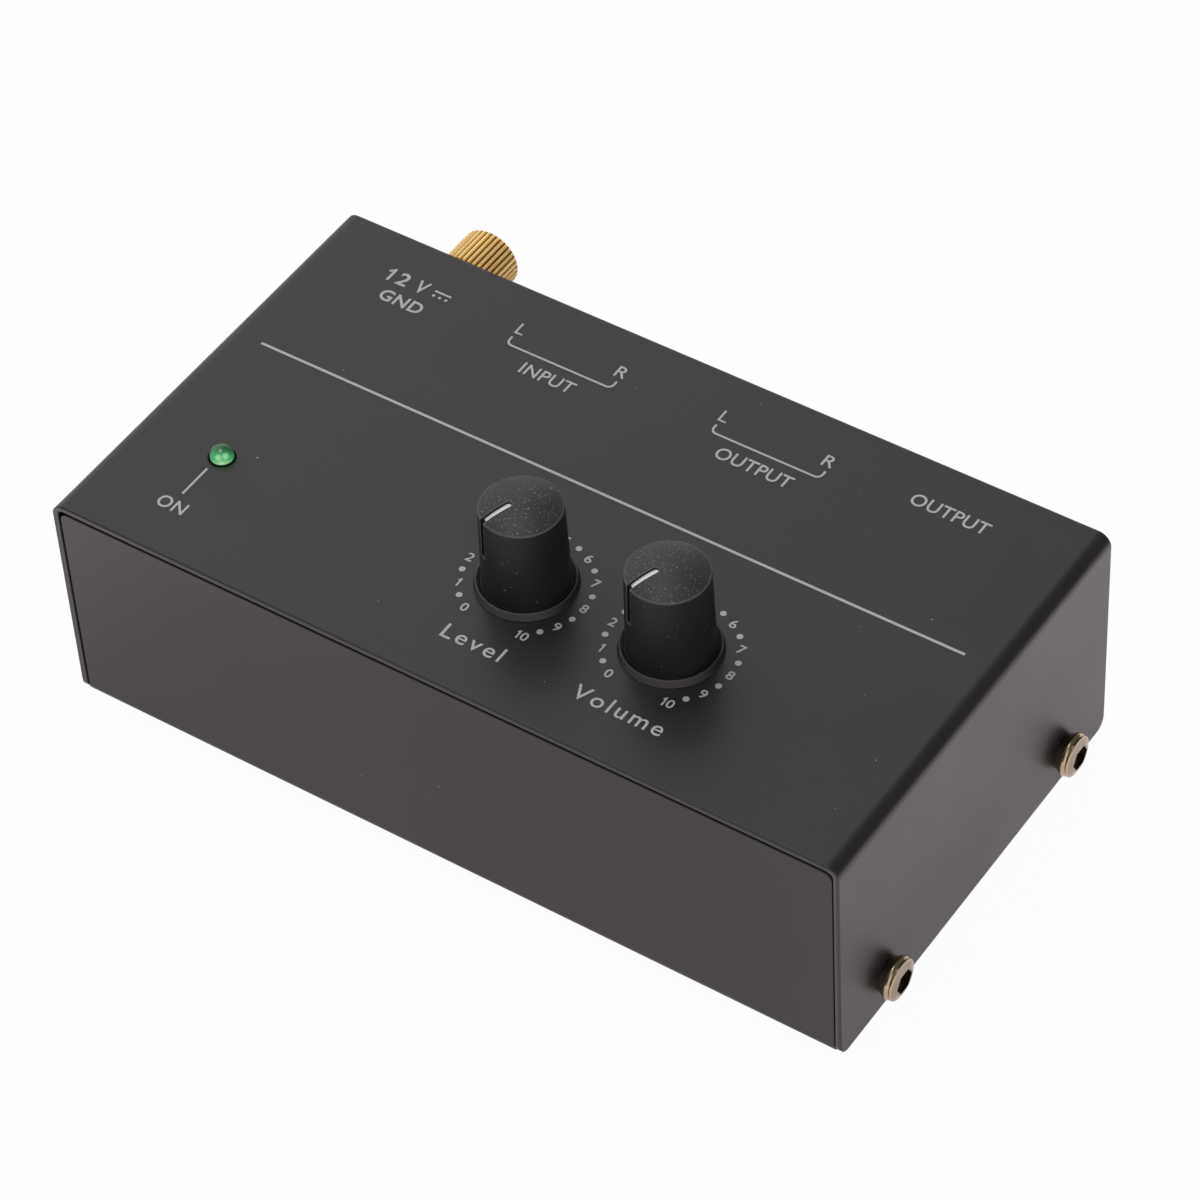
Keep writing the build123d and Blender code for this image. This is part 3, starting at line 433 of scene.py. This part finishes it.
# Glass-fibre board under green solder mask: the copper tracks show through as lighter lines.
def solder_masked_board():
    finish, tree = empty_material("glass_fibre_board_solder_masked")
    where = add(tree, "ShaderNodeTexCoord").outputs["Object"]
    scaled = add(tree, "ShaderNodeMapping", values={"Scale": (1 / (12 * MM),) * 3}, links={"Vector": where})
    tracks = add(tree, "ShaderNodeTexBrick", {"offset": 0.37, "squash": 0.6, "squash_frequency": 3},
                 {"Scale": 1, "Mortar Size": 0.035, "Mortar Smooth": 0.1, "Brick Width": 0.9,
                  "Row Height": 0.22}, {"Vector": scaled.outputs[0]}).outputs["Fac"]
    bump = add(tree, "ShaderNodeBump", values={"Strength": 1, "Distance": 0.035 * MM},
               links={"Height": tracks})
    return shaded(finish, tree, {"Roughness": 0.32, "Coat Weight": 0.3},
                  {"Base Color": layered(tree, linear("#17492c"), (linear("#3a8a52"), tracks)),
                   "Normal": bump.outputs[0]})


# Gold flashed brass on the knurl that fingers turn: rubbed satin on the crests, painted dark brown in the
# troughs as shade. The fine teeth scatter most of the light, so only a part of it is mirrored.
def gold_flashed_knurl():
    trough, crest = 0.38 * MM, 0.12 * MM  # depths under the tips at which the painted shade is full and gone
    finish, tree = empty_material("brass_knurled_gold_flashed")
    low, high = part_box("ground_thumb_nut")
    radius = (high.z - low.z) / 2
    where = add(tree, "ShaderNodeTexCoord").outputs["Object"]
    flat = add(tree, "ShaderNodeMapping",
               values={"Location": (-(low.x + high.x) / 2, 0, -(low.z + high.z) / 2), "Scale": (1, 0, 1)},
               links={"Vector": where})
    away = add(tree, "ShaderNodeVectorMath", {"operation": "LENGTH"}, links={0: flat.outputs[0]})
    outer = add(tree, "ShaderNodeMapRange", values={"From Min": radius - trough, "From Max": radius - crest},
                links={"Value": away.outputs["Value"]})
    cloud = add(tree, "ShaderNodeTexNoise", values={"Scale": 1 / PLATING_PATCH, "Detail": 2},
                links={"Vector": where})
    gold = layered(tree, linear("#ffc969"), (linear("#ffe2a2"), cloud.outputs["Fac"]))
    surface = add(tree, "ShaderNodeNewGeometry").outputs["Normal"]
    along = add(tree, "ShaderNodeVectorMath", {"operation": "DOT_PRODUCT"}, {1: (0, 1, 0)}, {0: surface})
    ends = add(tree, "ShaderNodeMath", {"operation": "ABSOLUTE"}, links={0: along.outputs["Value"]})
    unshaded = add(tree, "ShaderNodeMath", {"operation": "MAXIMUM"},
                links={0: outer.outputs[0], 1: ends.outputs[0]})
    return shaded(finish, tree, {"Metallic": 0.3, "Roughness": 0.28},
                  {"Base Color": layered(tree, linear("#7c4a13"), (gold, unshaded.outputs[0]))})


# Steel nickel plated over the turned head: a warm grey mirror, painted lighter on its bead as a highlight.
# The hexagon socket is painted darker as shade in the recess.
def nickel_plated_steel(screws):
    bead_inner, bead_outer = 0.5 * MM, 0.35 * MM  # depths under the head's rim
    finish, tree = empty_material("steel_nickel_plated")
    low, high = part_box("side_screws")
    head = (high.z - low.z) / 2
    from_middle = (high.y - low.y) / 2 - head
    where = add(tree, "ShaderNodeTexCoord").outputs["Object"]
    # The distance from the nearest of the four screws' axes.
    centred = add(tree, "ShaderNodeMapping",
                  values={"Location": (0, -(low.y + high.y) / 2, -(low.z + high.z) / 2), "Scale": (0, 1, 1)},
                  links={"Vector": where})
    folded = add(tree, "ShaderNodeVectorMath", {"operation": "ABSOLUTE"}, links={0: centred.outputs[0]})
    away = add(tree, "ShaderNodeVectorMath", {"operation": "DISTANCE"}, {1: (0, from_middle, 0)},
               {0: folded.outputs[0]}).outputs["Value"]
    # Painted shade in the hexagon socket.
    socket = add(tree, "ShaderNodeMapRange",
                 values={"From Min": screws.socket_reach + 0.03 * MM,
                         "From Max": screws.socket_reach - 0.02 * MM}, links={"Value": away})
    # Painted highlight on the bead round the head's rim.
    bead = add(tree, "ShaderNodeMapRange",
               values={"From Min": head - bead_inner, "From Max": head - bead_outer}, links={"Value": away})
    cloud = add(tree, "ShaderNodeTexNoise", values={"Scale": 1 / PLATING_PATCH, "Detail": 2},
                links={"Vector": where})
    plated = layered(tree, tinted(screws.nickel, 0.86), (screws.nickel, cloud.outputs["Fac"]),
                     (linear("#beab8f"), bead.outputs[0]), (linear("#8d8276"), socket.outputs[0]))
    edge = add(tree, "ShaderNodeBevel", {"samples": 6}, {"Radius": 0.1 * MM})
    return shaded(finish, tree, {"Metallic": 1, "Roughness": 0.2},
                  {"Base Color": plated, "Normal": edge.outputs[0]})


# Finishes of the small and inner parts, by the record's slot: name, light and dark colour, metallic, least
# and most roughness, then grain, relief and rounded edge in millimetres.
SMALL_FINISHES = {
    # Mild steel zinc plated and passivated: dull blue-white metal with a spangle.
    "zinc_steel": ("steel_zinc_plated", "#c3c7cb", "#9ba1a6", 1.0, 0.3, 0.45, 1.2, 0.01, 0.1),
    # Turned brass under bright nickel: a warm grey mirror with faint tool marks.
    "nickel_steel": ("brass_turned_nickel_plated", "#cdc8bd", "#b1aca2", 1.0, 0.16, 0.28, 0.6, 0.006, 0.1),
    # Moulded nitrile rubber: matt black with a dusty bloom.
    "foot_rubber": ("rubber_moulded_black", "#2b2a29", "#1c1b1b", 0.0, 0.7, 0.85, 0.5, 0.03, 0.3),
    # Steel shaft, turned and nickel plated: fine bright lathe marks.
    "shaft_metal": ("steel_shaft_turned", "#c9c8c4", "#a3a29f", 1.0, 0.22, 0.34, 0.3, 0.01, 0),
    # Pressed steel can of the control, zinc plated: even grey with a soft shine.
    "pot_metal": ("steel_pressed_plated", "#b9b8b2", "#98978f", 1.0, 0.34, 0.5, 0.9, 0.015, 0.15),
    # Black nylon spacer, moulded: even and slightly waxy.
    "spacer_nylon": ("nylon_moulded_black", "#262627", "#1a1a1b", 0.0, 0.4, 0.55, 1.0, 0.01, 0),
    # Copper leads dipped in tin: soft silver with a slight ripple.
    "lead_tin": ("copper_tinned", "#cfcfcb", "#a9a9a5", 1.0, 0.25, 0.42, 0.6, 0.02, 0),
    # Glass-filled nylon body of a socket, moulded: black with a faint sparkle of fibre.
    "connector_black": ("nylon_glass_filled_black", "#232324", "#121213", 0.0, 0.38, 0.55, 0.25, 0.012, 0.2),
    # Acetal insulators, moulded: even white and red with a soft shine.
    "insulator_white": ("acetal_moulded_white", "#eceae4", "#dad7ce", 0.0, 0.3, 0.42, 0.7, 0.008, 0.12),
    "insulator_red": ("acetal_moulded_red", "#b5211f", "#95181a", 0.0, 0.3, 0.42, 0.7, 0.008, 0.12),
    # Rolled brass contact, gold flashed: warm yellow with a soft shine.
    "contact_brass": ("brass_rolled_gold_flashed", "#e8c27a", "#c99a4d", 1.0, 0.24, 0.38, 0.4, 0.01, 0),
    # Phosphor bronze spring strip: coppery with rolling haze.
    "spring_bronze": ("phosphor_bronze_rolled", "#cf9468", "#a8714c", 1.0, 0.28, 0.42, 0.5, 0.01, 0),
    # Chip packages moulded in filled epoxy: charcoal, sandy to the eye.
    "chip_epoxy": ("epoxy_moulded_charcoal", "#2a2b2d", "#191a1b", 0.0, 0.5, 0.68, 0.18, 0.02, 0.15),
    # Aluminium can in a shrunk PVC sleeve: dark blue, glossy, a little wrinkled.
    "can_sleeve": ("pvc_sleeve_shrunk_navy", "#1d2b4e", "#141d38", 0.0, 0.22, 0.34, 2.2, 0.05, 0.3),
    # Film capacitor in a moulded polyester box: brick red, satin.
    "film_box": ("polyester_moulded_red", "#a63a2a", "#8a2d21", 0.0, 0.38, 0.5, 0.8, 0.012, 0.25),
    # Metal film resistor under baked lacquer: pale blue, glossy.
    "resistor_lacquer": ("lacquer_baked_pale_blue", "#7fb1c9", "#6498b2", 0.0, 0.25, 0.4, 0.9, 0.02, 0),
    # Extruded PVC on the ground wire: green, satin.
    "wire_insulation": ("pvc_extruded_green", "#2f7a3d", "#245f30", 0.0, 0.35, 0.5, 0.8, 0.01, 0),
    # Brass turned and gold flashed: bright yellow, with fine rings from the lathe.
    "sleeve_gold": ("brass_turned_gold_flashed", "#ffe0a2", "#f3c47c", 1.0, 0.18, 0.3, 0.5, 0.004, 0.08),
}


# ---------------------------------------------------------------- making pieces

def finished(name, bm, finish, body):
    """Turns a bmesh into a piece that rides on a body. Its place is already in its mesh."""
    weld = 0.002 * MM
    sharp_from = math.radians(35)
    bmesh.ops.remove_doubles(bm, verts=bm.verts, dist=weld)
    bmesh.ops.recalc_face_normals(bm, faces=bm.faces)
    mesh = bpy.data.meshes.new(name)
    bm.to_mesh(mesh)
    bm.free()
    piece = bpy.data.objects.new(name, mesh)
    bpy.context.scene.collection.objects.link(piece)
    mesh.materials.append(finish)
    mesh.shade_smooth()
    mesh.set_sharp_from_angle(angle=sharp_from)
    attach(piece, body)


def thicken(bm, faces, thickness):
    """Raises flat faces into a closed slab."""
    raised = bmesh.ops.extrude_face_region(bm, geom=faces)["geom"]
    corners = [g for g in raised if isinstance(g, bmesh.types.BMVert)]
    bmesh.ops.translate(bm, verts=corners, vec=UP * thickness)


def print_words(bm, words, left, right, low, high, thickness, weight, spread=1.0):
    """A printed word between the given edges: drawn as a curve, made a mesh, then sized to its place."""
    half = 0.5  # the drawn word reaches this far up and down, so it is 1 thick
    drawn = bpy.data.curves.new("words", "FONT")
    drawn.body = words
    drawn.space_character = spread
    drawn.resolution_u = 3
    drawn.offset = weight
    drawn.extrude = half
    holder = bpy.data.objects.new("words", drawn)
    bpy.context.scene.collection.objects.link(holder)
    bpy.context.view_layer.update()
    flat = bpy.data.meshes.new_from_object(holder.evaluated_get(bpy.context.evaluated_depsgraph_get()))
    bpy.data.objects.remove(holder)
    bpy.data.curves.remove(drawn)
    known = set(bm.verts)
    bm.from_mesh(flat)
    bpy.data.meshes.remove(flat)
    new = [v for v in bm.verts if v not in known]
    across = [v.co.x for v in new]
    along = [v.co.y for v in new]
    size = Vector(((right - left) / (max(across) - min(across)), (high - low) / (max(along) - min(along)),
                   thickness))
    bmesh.ops.translate(bm, verts=new, vec=(-min(across), -min(along), half))
    bmesh.ops.scale(bm, verts=new, vec=size)
    bmesh.ops.translate(bm, verts=new, vec=(left, low, cover_high.z))


def print_disc(bm, x, y, diameter, thickness):
    """A printed dot."""
    made = bmesh.ops.create_circle(bm, cap_ends=True, segments=20, radius=diameter / 2,
                                   matrix=Matrix.Translation((x, y, cover_high.z)))
    thicken(bm, list({f for v in made["verts"] for f in v.link_faces}), thickness)


def print_line(bm, start, turns, stroke, thickness):
    """A printed line of one width: each run as a length, and each corner as (degrees, radius)."""
    known = set(bm.faces)
    at, heading = Vector((*start[:2], cover_high.z)), math.radians(start[2])
    ahead = Vector((math.cos(heading), math.sin(heading), 0))
    side = Vector((-ahead.y, ahead.x, 0))
    ends = [bm.verts.new(at + side * stroke / 2), bm.verts.new(at - side * stroke / 2)]
    edge = bm.edges.new(ends)
    for turn in turns:
        if isinstance(turn, tuple):
            angle, radius = math.radians(turn[0]), turn[1]
            centre = at + side * radius * (1 if angle > 0 else -1)
            spun = bmesh.ops.spin(bm, geom=[edge, *edge.verts], cent=centre, axis=UP, angle=angle, steps=6,
                                  use_duplicate=False)["geom_last"]
            edge = next(g for g in spun if isinstance(g, bmesh.types.BMEdge))
            turned = Matrix.Rotation(angle, 3, "Z")
            at = centre + turned @ (at - centre)
            ahead, side = turned @ ahead, turned @ side
        else:
            drawn = bmesh.ops.extrude_edge_only(bm, edges=[edge])["geom"]
            moved = [g for g in drawn if isinstance(g, bmesh.types.BMVert)]
            bmesh.ops.translate(bm, verts=moved, vec=ahead * turn)
            edge = next(g for g in drawn
                        if isinstance(g, bmesh.types.BMEdge) and all(v in moved for v in g.verts))
            at = at + ahead * turn
    thicken(bm, [f for f in bm.faces if f not in known], thickness)


def print_one(bm, left, right, low, high, stroke, thickness):
    """The figure 1: an upright, and a flag that is a little thinner and lower, so they share no face."""
    flag_drop, flag_length = 0.3 * (high - low), 0.95 * (right - left)
    print_line(bm, (right - stroke / 2, low, 90), [high - low], stroke, thickness)
    lean = math.degrees(math.atan2(flag_drop, right - left))
    print_line(bm, (right - 0.3 * stroke, high - 0.45 * stroke, 180 + lean), [flag_length],
               0.9 * stroke, 0.9 * thickness)


def print_scale(bm, middle, marks):
    """A dial's numbers from 0 to 10, clockwise from its front left, with a dot between each two."""
    first, step = -150, 30  # degrees from the rear
    ten_out, ten_one, ten_nought = 0.42 * MM, -0.62 * MM, 0.5 * MM  # how the wider 10 is set
    half_figure, weight = 0.56 * MM, 0.012
    one_left, one_right, one_stroke = 0.3 * MM, 0.27 * MM, 0.27 * MM
    for figure in range(11):
        ten = figure == 10
        turn = math.radians(first + step * figure)
        out = marks.scale_radius + (ten_out if ten else 0)
        x, y = middle.x + out * math.sin(turn), middle.y + out * math.cos(turn)
        low, high = y - marks.figure_height / 2, y + marks.figure_height / 2
        if figure in (1, 10):
            one_x = x + (ten_one if ten else 0)
            print_one(bm, one_x - one_left, one_x + one_right, low, high, one_stroke, marks.thickness)
        if figure != 1:
            figure_x = x + (ten_nought if ten else 0)
            print_words(bm, str(figure % 10), figure_x - half_figure, figure_x + half_figure, low, high,
                        marks.thickness, weight)
    for dot in range(10):
        turn = math.radians(first + step * (dot + 0.5))
        print_disc(bm, middle.x + marks.scale_radius * math.sin(turn),
                   middle.y + marks.scale_radius * math.cos(turn), marks.dot, marks.thickness)


# Words: left, right, foot and head in millimetres from the cover's middle, weight of the strokes, spread.
WORDS = (
    ("Level", -3.8, 6.2, -28.95, -26.25, 0.004, 1.22), ("Volume", 18.3, 33.1, -28.95, -26.25, 0.004, 1.2),
    ("ON", -54.1, -49.3, -29.05, -26.65, 0.012, 1.1), ("2", -51.45, -49.6, 27.2, 29.9, 0.015, 1),
    ("V", -48.2, -46.2, 27.2, 29.9, 0.015, 1), ("GND", -51.85, -44.3, 23.2, 25.6, 0.02, 1.08),
    ("L", -29.75, -28.35, 27.57, 29.85, 0.0, 1), ("R", -12.05, -10.2, 27.57, 29.85, 0.005, 1),
    ("L", 6.25, 7.65, 27.57, 29.85, 0.0, 1), ("R", 23.95, 25.8, 27.57, 29.85, 0.005, 1),
    ("INPUT", -24.55, -15.35, 20.88, 23.2, 0.008, 1.05), ("OUTPUT", 9.75, 22.55, 20.82, 23.26, 0.008, 1.02),
    ("OUTPUT", 38.8, 51.55, 27.42, 29.86, 0.008, 1.02),
)
VOLTS_ONE = (-53.7, -52.55, 27.2, 29.9, 0.45)  # the 1 of the supply's 12 V: its edges and its stroke

# Lines: start in millimetres from the cover's middle, heading, runs and corners, and a width of its own.
BRACKET = [0.75 * MM, (90, 0.9 * MM), 16.88 * MM, (90, 0.9 * MM), 0.75 * MM]
LINES = (
    (-60.8, 6.2, 0, [121.8 * MM], 0.45 * MM),  # the divider
    (-51.75, -19.3, -90, [6.0 * MM], 0.36 * MM),  # the lamp's leader
    (-45.05, 28.96, 0, [2.95 * MM], None),  # the direct current sign, over its dots
    (-29.4, 26.7, -90, BRACKET, None), (6.75, 26.7, -90, BRACKET, None),
)
SIGN_DOTS = ((-44.68, -43.58, -42.45), 28.0, 0.5)  # x of each, then y and diameter


# ---------------------------------------------------------------- the stage

CAMERA_PLACE = Vector((0.29413, -0.39412, 0.54001))  # from the middle of the cover's depth
CAMERA_TURN = (43.5998, 2.5480, 33.7500)  # degrees

# What the shiny parts mirror: pale walls all round, a dark doorway behind and to the right, two dark
# corners to the camera's left and a bright lamp overhead. Each is a direction, where it starts and is
# full, and its tone.
MIRRORED_ROOM = (
    (UP, -2, -1.5, 0.94),
    ((0.64, 0.55, 0.54), 0.36, 0.80, 0.12),
    ((-0.35, -0.85, 0.38), 0.55, 0.82, 0.06),
    ((-0.39, -0.45, 0.80), 0.78, 0.93, 0.08),
    ((-0.15, -0.08, 0.98), 0.955, 0.985, 4.0),
)


def pale_room():
    """The world: white to the eye, half as bright where it only lights, and patchy in mirrors."""
    room = bpy.data.worlds.new("room")
    room.use_nodes = True
    tree = room.node_tree
    tree.nodes.clear()
    ray = add(tree, "ShaderNodeLightPath")
    sky = add(tree, "ShaderNodeTexCoord").outputs["Generated"]
    patches = []
    for direction, start, full, tone in MIRRORED_ROOM:
        glossy = add(tree, "ShaderNodeMath", {"operation": "MULTIPLY"},
                     links={0: towards(tree, sky, direction, start, full), 1: ray.outputs["Is Glossy Ray"]})
        patches.append(((tone,) * 3, glossy.outputs[0]))
    soft = add(tree, "ShaderNodeBackground", values={"Color": (1, 1, 1, 1), "Strength": 0.5})
    bright = add(tree, "ShaderNodeBackground", values={"Strength": 1},
                 links={"Color": layered(tree, (1, 1, 1), *patches)})
    both = add(tree, "ShaderNodeMixShader",
               links={0: looked_at(tree, ray), 1: soft.outputs[0], 2: bright.outputs[0]})
    add(tree, "ShaderNodeOutputWorld", links={"Surface": both.outputs[0]})
    return room


# Pale seamless paper: white to the eye, while it still keeps the soft shadow. Shiny parts mirror it a little
# pink, with painted shade near the object, a painted pool of light to the rear right, dark past the lit
# table.
def seamless_paper(table):
    glow_share = 0.97  # the rest of it takes the shadow
    finish, tree = empty_material("paper_seamless_white")
    where = add(tree, "ShaderNodeTexCoord").outputs["Object"]
    ray = add(tree, "ShaderNodeLightPath")
    pulp = add(tree, "ShaderNodeTexNoise", values={"Scale": 1 / PAPER_PATCH, "Detail": 2},
               links={"Vector": where})
    matt = add(tree, "ShaderNodeBsdfDiffuse", links={
        "Color": layered(tree, linear("#f0f0f0"), (linear("#f6f6f6"), pulp.outputs["Fac"]))})
    away = add(tree, "ShaderNodeVectorMath", {"operation": "LENGTH"}, links={0: where})
    beside, beyond = (add(tree, "ShaderNodeMapRange", {"interpolation_type": "SMOOTHSTEP"},
                          {"From Min": near, "From Max": far}, {"Value": away.outputs["Value"]}).outputs[0]
                      for near, far in ((0.07, 0.13), (0.20, 0.38)))
    pool = towards(tree, where, (0.6, 0.8, 0), -0.03, 0.08, 0.36)
    # Painted shade near the object and a painted pool of light, in the floor's mirrored colour.
    mirrored = layered(tree, tinted(table, 0.86), (tinted(table, 1.42), beside), (tinted(table, 1.64), pool),
                       ((0.12,) * 3, beyond))
    white = add(tree, "ShaderNodeEmission", values={"Strength": 1},
                links={"Color": layered(tree, (1, 1, 1), (mirrored, ray.outputs["Is Glossy Ray"]))})
    share = add(tree, "ShaderNodeMath", {"operation": "MULTIPLY"}, {1: glow_share}, {0: looked_at(tree, ray)})
    both = add(tree, "ShaderNodeMixShader",
               links={0: share.outputs[0], 1: matt.outputs[0], 2: white.outputs[0]})
    add(tree, "ShaderNodeOutputMaterial", links={"Surface": both.outputs[0]})
    return finish


# ---------------------------------------------------------------- operators

class PREAMP_OT_stage(bpy.types.Operator):
    """Sets the camera, the pale floor and the soft light"""
    bl_idname = "preamp.stage"
    bl_label = "Stage"

    def execute(self, context):
        scene = context.scene
        stage = scene.preamp_stage
        view = bpy.data.cameras.new("camera")
        view.sensor_width = 36
        view.lens = stage.focal
        camera = bpy.data.objects.new("camera", view)
        scene.collection.objects.link(camera)
        camera.location = CAMERA_PLACE + Vector((0, cover_middle_y, 0))
        camera.rotation_euler = Euler([math.radians(a) for a in CAMERA_TURN], "XYZ")
        scene.camera = camera
        scene.view_settings.view_transform = "Standard"
        scene.world = pale_room()

        for name, power, size, spot in (("key", stage.key_power, 1.4, (-0.9, 0.3, 1.25)),
                                        ("fill", stage.fill_power, 1.2, (0.6, -1.0, 1.0))):
            lamp = bpy.data.lights.new(name, "AREA")
            lamp.energy = power
            lamp.size = size
            held = bpy.data.objects.new(name, lamp)
            scene.collection.objects.link(held)
            held.location = spot
            held.rotation_euler = (-Vector(spot)).to_track_quat("-Z", "Y").to_euler()
            held.visible_glossy = False

        bm = bmesh.new()
        bmesh.ops.create_grid(bm, x_segments=2, y_segments=2, size=stage.floor_size / 2,
                              matrix=Matrix.Translation((0, 0, case_low.z)))
        ground = bpy.data.meshes.new("floor")
        bm.to_mesh(ground)
        bm.free()
        ground.materials.append(seamless_paper(stage.table))
        floor = bpy.data.objects.new("floor", ground)
        scene.collection.objects.link(floor)
        return {"FINISHED"}


class PREAMP_OT_case(bpy.types.Operator):
    """Paints the cover and the tray"""
    bl_idname = "preamp.case"
    bl_label = "Case paint"

    def execute(self, context):
        coat = powder_coated_steel(context.scene.preamp_paint)
        for sheet in ("top_cover", "bottom_tray"):
            dress(sheet, coat)
        return {"FINISHED"}


class PREAMP_OT_small_parts(bpy.types.Operator):
    """Finishes the feet, sockets, board and other small parts by their slots"""
    bl_idname = "preamp.small_parts"
    bl_label = "Small parts"

    def execute(self, context):
        finishes = {slot: small_finish(*row) for slot, row in SMALL_FINISHES.items()}
        finishes["board_laminate"] = solder_masked_board()
        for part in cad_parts.values():
            for held in part.material_slots:
                held.material = finishes.get(held.material.name, held.material)
        dress("ground_thumb_nut", gold_flashed_knurl())
        dress("side_screws", nickel_plated_steel(context.scene.preamp_screws))
        return {"FINISHED"}


class PREAMP_OT_dials(bpy.types.Operator):
    """Finishes the two knobs and their pointers"""
    bl_idname = "preamp.dials"
    bl_label = "Dials"

    def execute(self, context):
        dials = context.scene.preamp_dials
        skin = soft_touch_abs(dials)
        # ABS moulded white, snapped into the knob: clean, with a slight shine.
        bar = plain_finish("abs_moulded_white", dials.pointer, tinted(dials.pointer, 0.9), 0.0, (0.35, 0.45),
                           0.6 * MM, 0.006 * MM, edge=0.12 * MM)
        for dial in ("level", "volume"):
            dress(dial + "_knob", skin)
            dress(dial + "_pointer", bar)
        return {"FINISHED"}


class PREAMP_OT_lamp(bpy.types.Operator):
    """Finishes the green lamp and adds the metal posts inside its lens"""
    bl_idname = "preamp.lamp"
    bl_label = "Lamp"

    def execute(self, context):
        lamp = context.scene.preamp_lamp
        dress("lamp_lens", cast_epoxy_green(lamp))
        middle = place_of("lamp_lens")
        foot = cover_high.z - 0.6 * MM
        from_axis, foot_radius = 0.62 * MM, 0.3 * MM
        bm = bmesh.new()
        for side, top_width in ((-1, 0.95 * MM), (1, 0.6 * MM)):
            made = bmesh.ops.create_cone(bm, cap_ends=True, segments=16, radius1=foot_radius,
                                         radius2=top_width / 2, depth=lamp.post_height)
            bmesh.ops.translate(bm, verts=made["verts"],
                                vec=(middle.x + side * from_axis, middle.y, foot + lamp.post_height / 2))
        # Stamped steel lead frame, silvered: a pale, nearly clean mirror.
        posts = small_finish("steel_lead_frame_silvered", "#e6e6e0", "#bdbdb6", 1.0, 0.15, 0.3, 0.3, 0.004, 0)
        finished("lamp_posts", bm, posts, "case")
        return {"FINISHED"}


class PREAMP_OT_print(bpy.types.Operator):
    """Prints the dial scales, lines and plain legends on the cover"""
    bl_idname = "preamp.print"
    bl_label = "Cover print"

    def execute(self, context):
        marks = context.scene.preamp_print
        thick = marks.thickness
        bm = bmesh.new()
        for dial in ("level", "volume"):
            print_scale(bm, place_of(dial + "_knob"), marks)
        for words, left, right, foot, head, weight, spread in WORDS:
            print_words(bm, words, left * MM, right * MM, cover_middle_y + foot * MM,
                        cover_middle_y + head * MM, thick, weight, spread)
        left, right, foot, head, stroke = VOLTS_ONE
        print_one(bm, left * MM, right * MM, cover_middle_y + foot * MM, cover_middle_y + head * MM,
                  stroke * MM, thick)
        for x, y, heading, turns, width in LINES:
            print_line(bm, (x * MM, cover_middle_y + y * MM, heading), turns, width or marks.stroke, thick)
        places, y, across = SIGN_DOTS
        for x in places:
            print_disc(bm, x * MM, cover_middle_y + y * MM, across * MM, thick)
        # Pad-printed epoxy ink: flat pale grey, a little thin over the coat's peel.
        ink = plain_finish("epoxy_ink_pad_printed", tinted(marks.ink, 1.06), tinted(marks.ink, 0.86), 0.0,
                           (0.5, 0.62), 0.35 * MM, 0.004 * MM)
        finished("cover_print", bm, ink, "case")
        return {"FINISHED"}


class PREAMP_PT_panel(bpy.types.Panel):
    """Lists the preamp's settings and the steps that make it"""
    bl_idname = "PREAMP_PT_panel"
    bl_label = "Phono preamp"
    bl_space_type = "VIEW_3D"
    bl_region_type = "UI"
    bl_category = "Preamp"

    def draw(self, context):
        for group, kind in SETTINGS.items():
            box = self.layout.box()
            for prop in kind.__annotations__:
                box.prop(getattr(context.scene, group), prop)
        for step in STEPS:
            self.layout.operator(step.bl_idname)


STEPS = (PREAMP_OT_stage, PREAMP_OT_case, PREAMP_OT_small_parts, PREAMP_OT_dials, PREAMP_OT_lamp,
         PREAMP_OT_print)


def register():
    for group, kind in SETTINGS.items():
        bpy.utils.register_class(kind)
        setattr(bpy.types.Scene, group, PointerProperty(type=kind))
    for made in (*STEPS, PREAMP_PT_panel):
        bpy.utils.register_class(made)


def unregister():
    for made in (PREAMP_PT_panel, *reversed(STEPS)):
        bpy.utils.unregister_class(made)
    for group, kind in SETTINGS.items():
        delattr(bpy.types.Scene, group)
        bpy.utils.unregister_class(kind)


def main():
    register()
    for step in STEPS:
        group, name = step.bl_idname.split(".")
        getattr(getattr(bpy.ops, group), name)()


if __name__ == "__main__":
    main()
